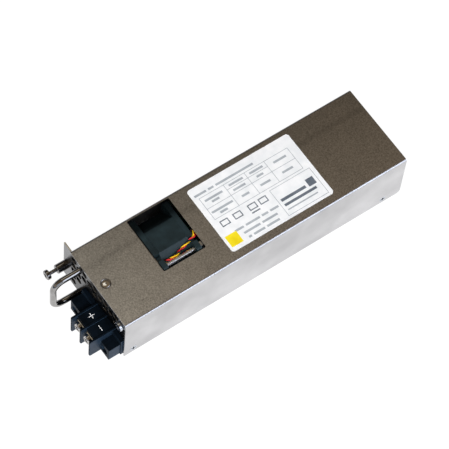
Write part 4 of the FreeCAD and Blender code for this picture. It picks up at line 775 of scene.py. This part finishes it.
# Painted shade: the sloping faces of the dimple take the darker steel.
second_finish(cover, dimple_steel_painted_shade, lambda face: face.normal.z < DIMPLE_SLOPE
              and (face.center - screw_middle).xy.length < DIMPLE_RADIUS)

flush_mesh = cut_away(mesh_of(heads, "flush_heads", zinc), mesh_of(crosses, "flush_crosses", recess))
place_piece("flush_screws", flush_mesh, "chassis")

# Polished nickel shines white from above
polished_nickel = metal("polished_nickel", "#dddcdd", "#ecebed", 0.12, 2.0)
worked_copy("cover_screw", nickel)
crown, crosses = bmesh.new(), bmesh.new()
crown_place = Matrix.Translation((screw_middle.x, screw_middle.y, screw_high.z))
bmesh.ops.create_uvsphere(crown, u_segments=40, v_segments=20, radius=1.0,
                          matrix=crown_place @ Matrix.Diagonal((CROWN_RADIUS, CROWN_RADIUS, CROWN_RISE, 1.0)))
add_cross(crosses, crown_place @ Matrix.Translation((0, 0, CROWN_RISE)), CROWN_CROSS, CROWN_RECESS)
crown_mesh = cut_away(mesh_of(crown, "crown", polished_nickel), mesh_of(crosses, "crown_cross", recess))
crown_mesh.set_sharp_from_angle(angle=CREASE)
crown_mesh.shade_smooth()
place_piece("cover_screw_crown", crown_mesh, "chassis")

# Label: a white polyester film with round corners, stuck to the cover.
# Its print is a ruled table, plain bars, outlined boxes and one yellow field.
# Places on the label are millimetres along it from its front end, and down from its far edge.
FILM, GREY, SLATE, YELLOW = range(4)
RULE = 0.35
TABLE = (3.7, 70.4, 8.3, 25.8)
COLUMNS = (21.7, 37.3, 52.3)
MIDDLE_RULE = 17.0
HEAD_RULE = 12.5
SIDE_BOX = (43.3, 73.7, 27.3, 48.3)
BAR_HEIGHT = 1.5
SMALL_BOXES = (5.0, 14.5, 25.5, 33.5)
SMALL_BOX_LENGTH = 6.0
SMALL_BOX_DOWN = (28.3, 32.7)
SMALL_BOX_RULE = 0.7
# Film is clean white with a faint gloss; each ink is a flat, slightly uneven tone
film = moulding("white_polyester_film", "#e9ecee", "#f7f8f9", 0.4, 1.5, 0.004)
rule_ink = moulding("grey_print", "#a0a7ad", "#b3b9be", 0.5, 0.6, 0.004)
dark_ink = moulding("slate_print", "#59626c", "#6d7680", 0.5, 0.6, 0.004)
yellow_ink = moulding("yellow_print", "#e8cf10", "#f7e32a", 0.45, 0.6, 0.004)


def frame_bars(length_from, length_to, down_from, down_to, rule=RULE, kind=GREY):
    """Four thin rules round a box."""
    return [
        (length_from, length_to, down_from, down_from + rule, kind),
        (length_from, length_to, down_to - rule, down_to, kind),
        (length_from, length_from + rule, down_from, down_to, kind),
        (length_to - rule, length_to, down_from, down_to, kind),
    ]


fields = frame_bars(*TABLE)
fields += [(column, column + RULE, TABLE[2], TABLE[3], GREY) for column in COLUMNS]
fields.append((TABLE[0], TABLE[1], MIDDLE_RULE, MIDDLE_RULE + RULE, GREY))
fields.append((COLUMNS[0], COLUMNS[2], HEAD_RULE, HEAD_RULE + RULE, GREY))
fields += frame_bars(*SIDE_BOX)
for length_from, length_to, down in (
    (2.2, 10.8, 5.2), (12.4, 16.4, 5.2), (18.0, 46.0, 5.2),
    (6.0, 19.0, 11.0), (9.5, 15.0, 13.6), (24.5, 35.0, 10.0), (40.0, 50.0, 10.0), (57.0, 66.5, 11.8),
    (25.0, 34.0, 14.3), (42.5, 47.5, 14.3),
    (5.0, 20.5, 20.0), (9.5, 15.0, 22.6), (27.0, 32.5, 20.6), (41.0, 48.5, 20.6), (57.5, 65.5, 20.6),
    (9.5, 16.0, 38.2), (17.6, 28.0, 38.2), (29.6, 34.2, 38.2), (35.8, 42.0, 38.2),
    (13.5, 25.6, 42.2), (27.2, 38.5, 42.2), (14.5, 16.6, 46.0), (18.2, 26.4, 46.0), (28.0, 37.5, 46.0),
):
    fields.append((length_from, length_to, down, down + BAR_HEIGHT, GREY))
for start in SMALL_BOXES:
    fields += frame_bars(start, start + SMALL_BOX_LENGTH, *SMALL_BOX_DOWN, SMALL_BOX_RULE, SLATE)
fields += [
    (25.5, 31.5, 34.0, 34.9, SLATE),
    (1.8, 10.2, 38.8, 47.2, YELLOW),
    (45.5, 64.0, 36.0, 38.0, SLATE),
    (45.5, 69.5, 40.0, 41.8, SLATE),
    (66.0, 71.5, 33.0, 38.5, SLATE),
    (45.5, 68.0, 44.0, 44.9, GREY),
]

label_low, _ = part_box("label")
build = bmesh.new()
build.from_mesh(frame["nodes"]["label"].data)
bmesh.ops.remove_doubles(build, verts=build.verts, dist=WELD)
bmesh.ops.dissolve_limit(build, angle_limit=FLAT, verts=build.verts, edges=build.edges)
lengths = sorted({place for field in fields for place in field[:2]})
downs = sorted({place for field in fields for place in field[2:4]})
cuts = [(Vector((0, label_low.y + place * MM, 0)), Vector((0, 1, 0))) for place in lengths]
cuts += [(Vector((label_low.x + place * MM, 0, 0)), Vector((1, 0, 0))) for place in downs]
for spot, facing in cuts:
    everything = build.verts[:] + build.edges[:] + build.faces[:]
    bmesh.ops.bisect_plane(build, geom=everything, plane_co=spot, plane_no=facing, dist=WELD)
for face in build.faces:
    if face.normal.z > FACING:
        centre = face.calc_center_median()
        length, down = (centre.y - label_low.y) / MM, (centre.x - label_low.x) / MM
        kinds = [kind for a, b, c, d, kind in fields if a < length < b and c < down < d]
        face.material_index = max(kinds, default=FILM)
label_mesh = mesh_of(build, "label_print", film)
for print_ink in (rule_ink, dark_ink, yellow_ink):
    label_mesh.materials.append(print_ink)
label = place_piece("label_print", label_mesh, "chassis")
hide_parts("label")
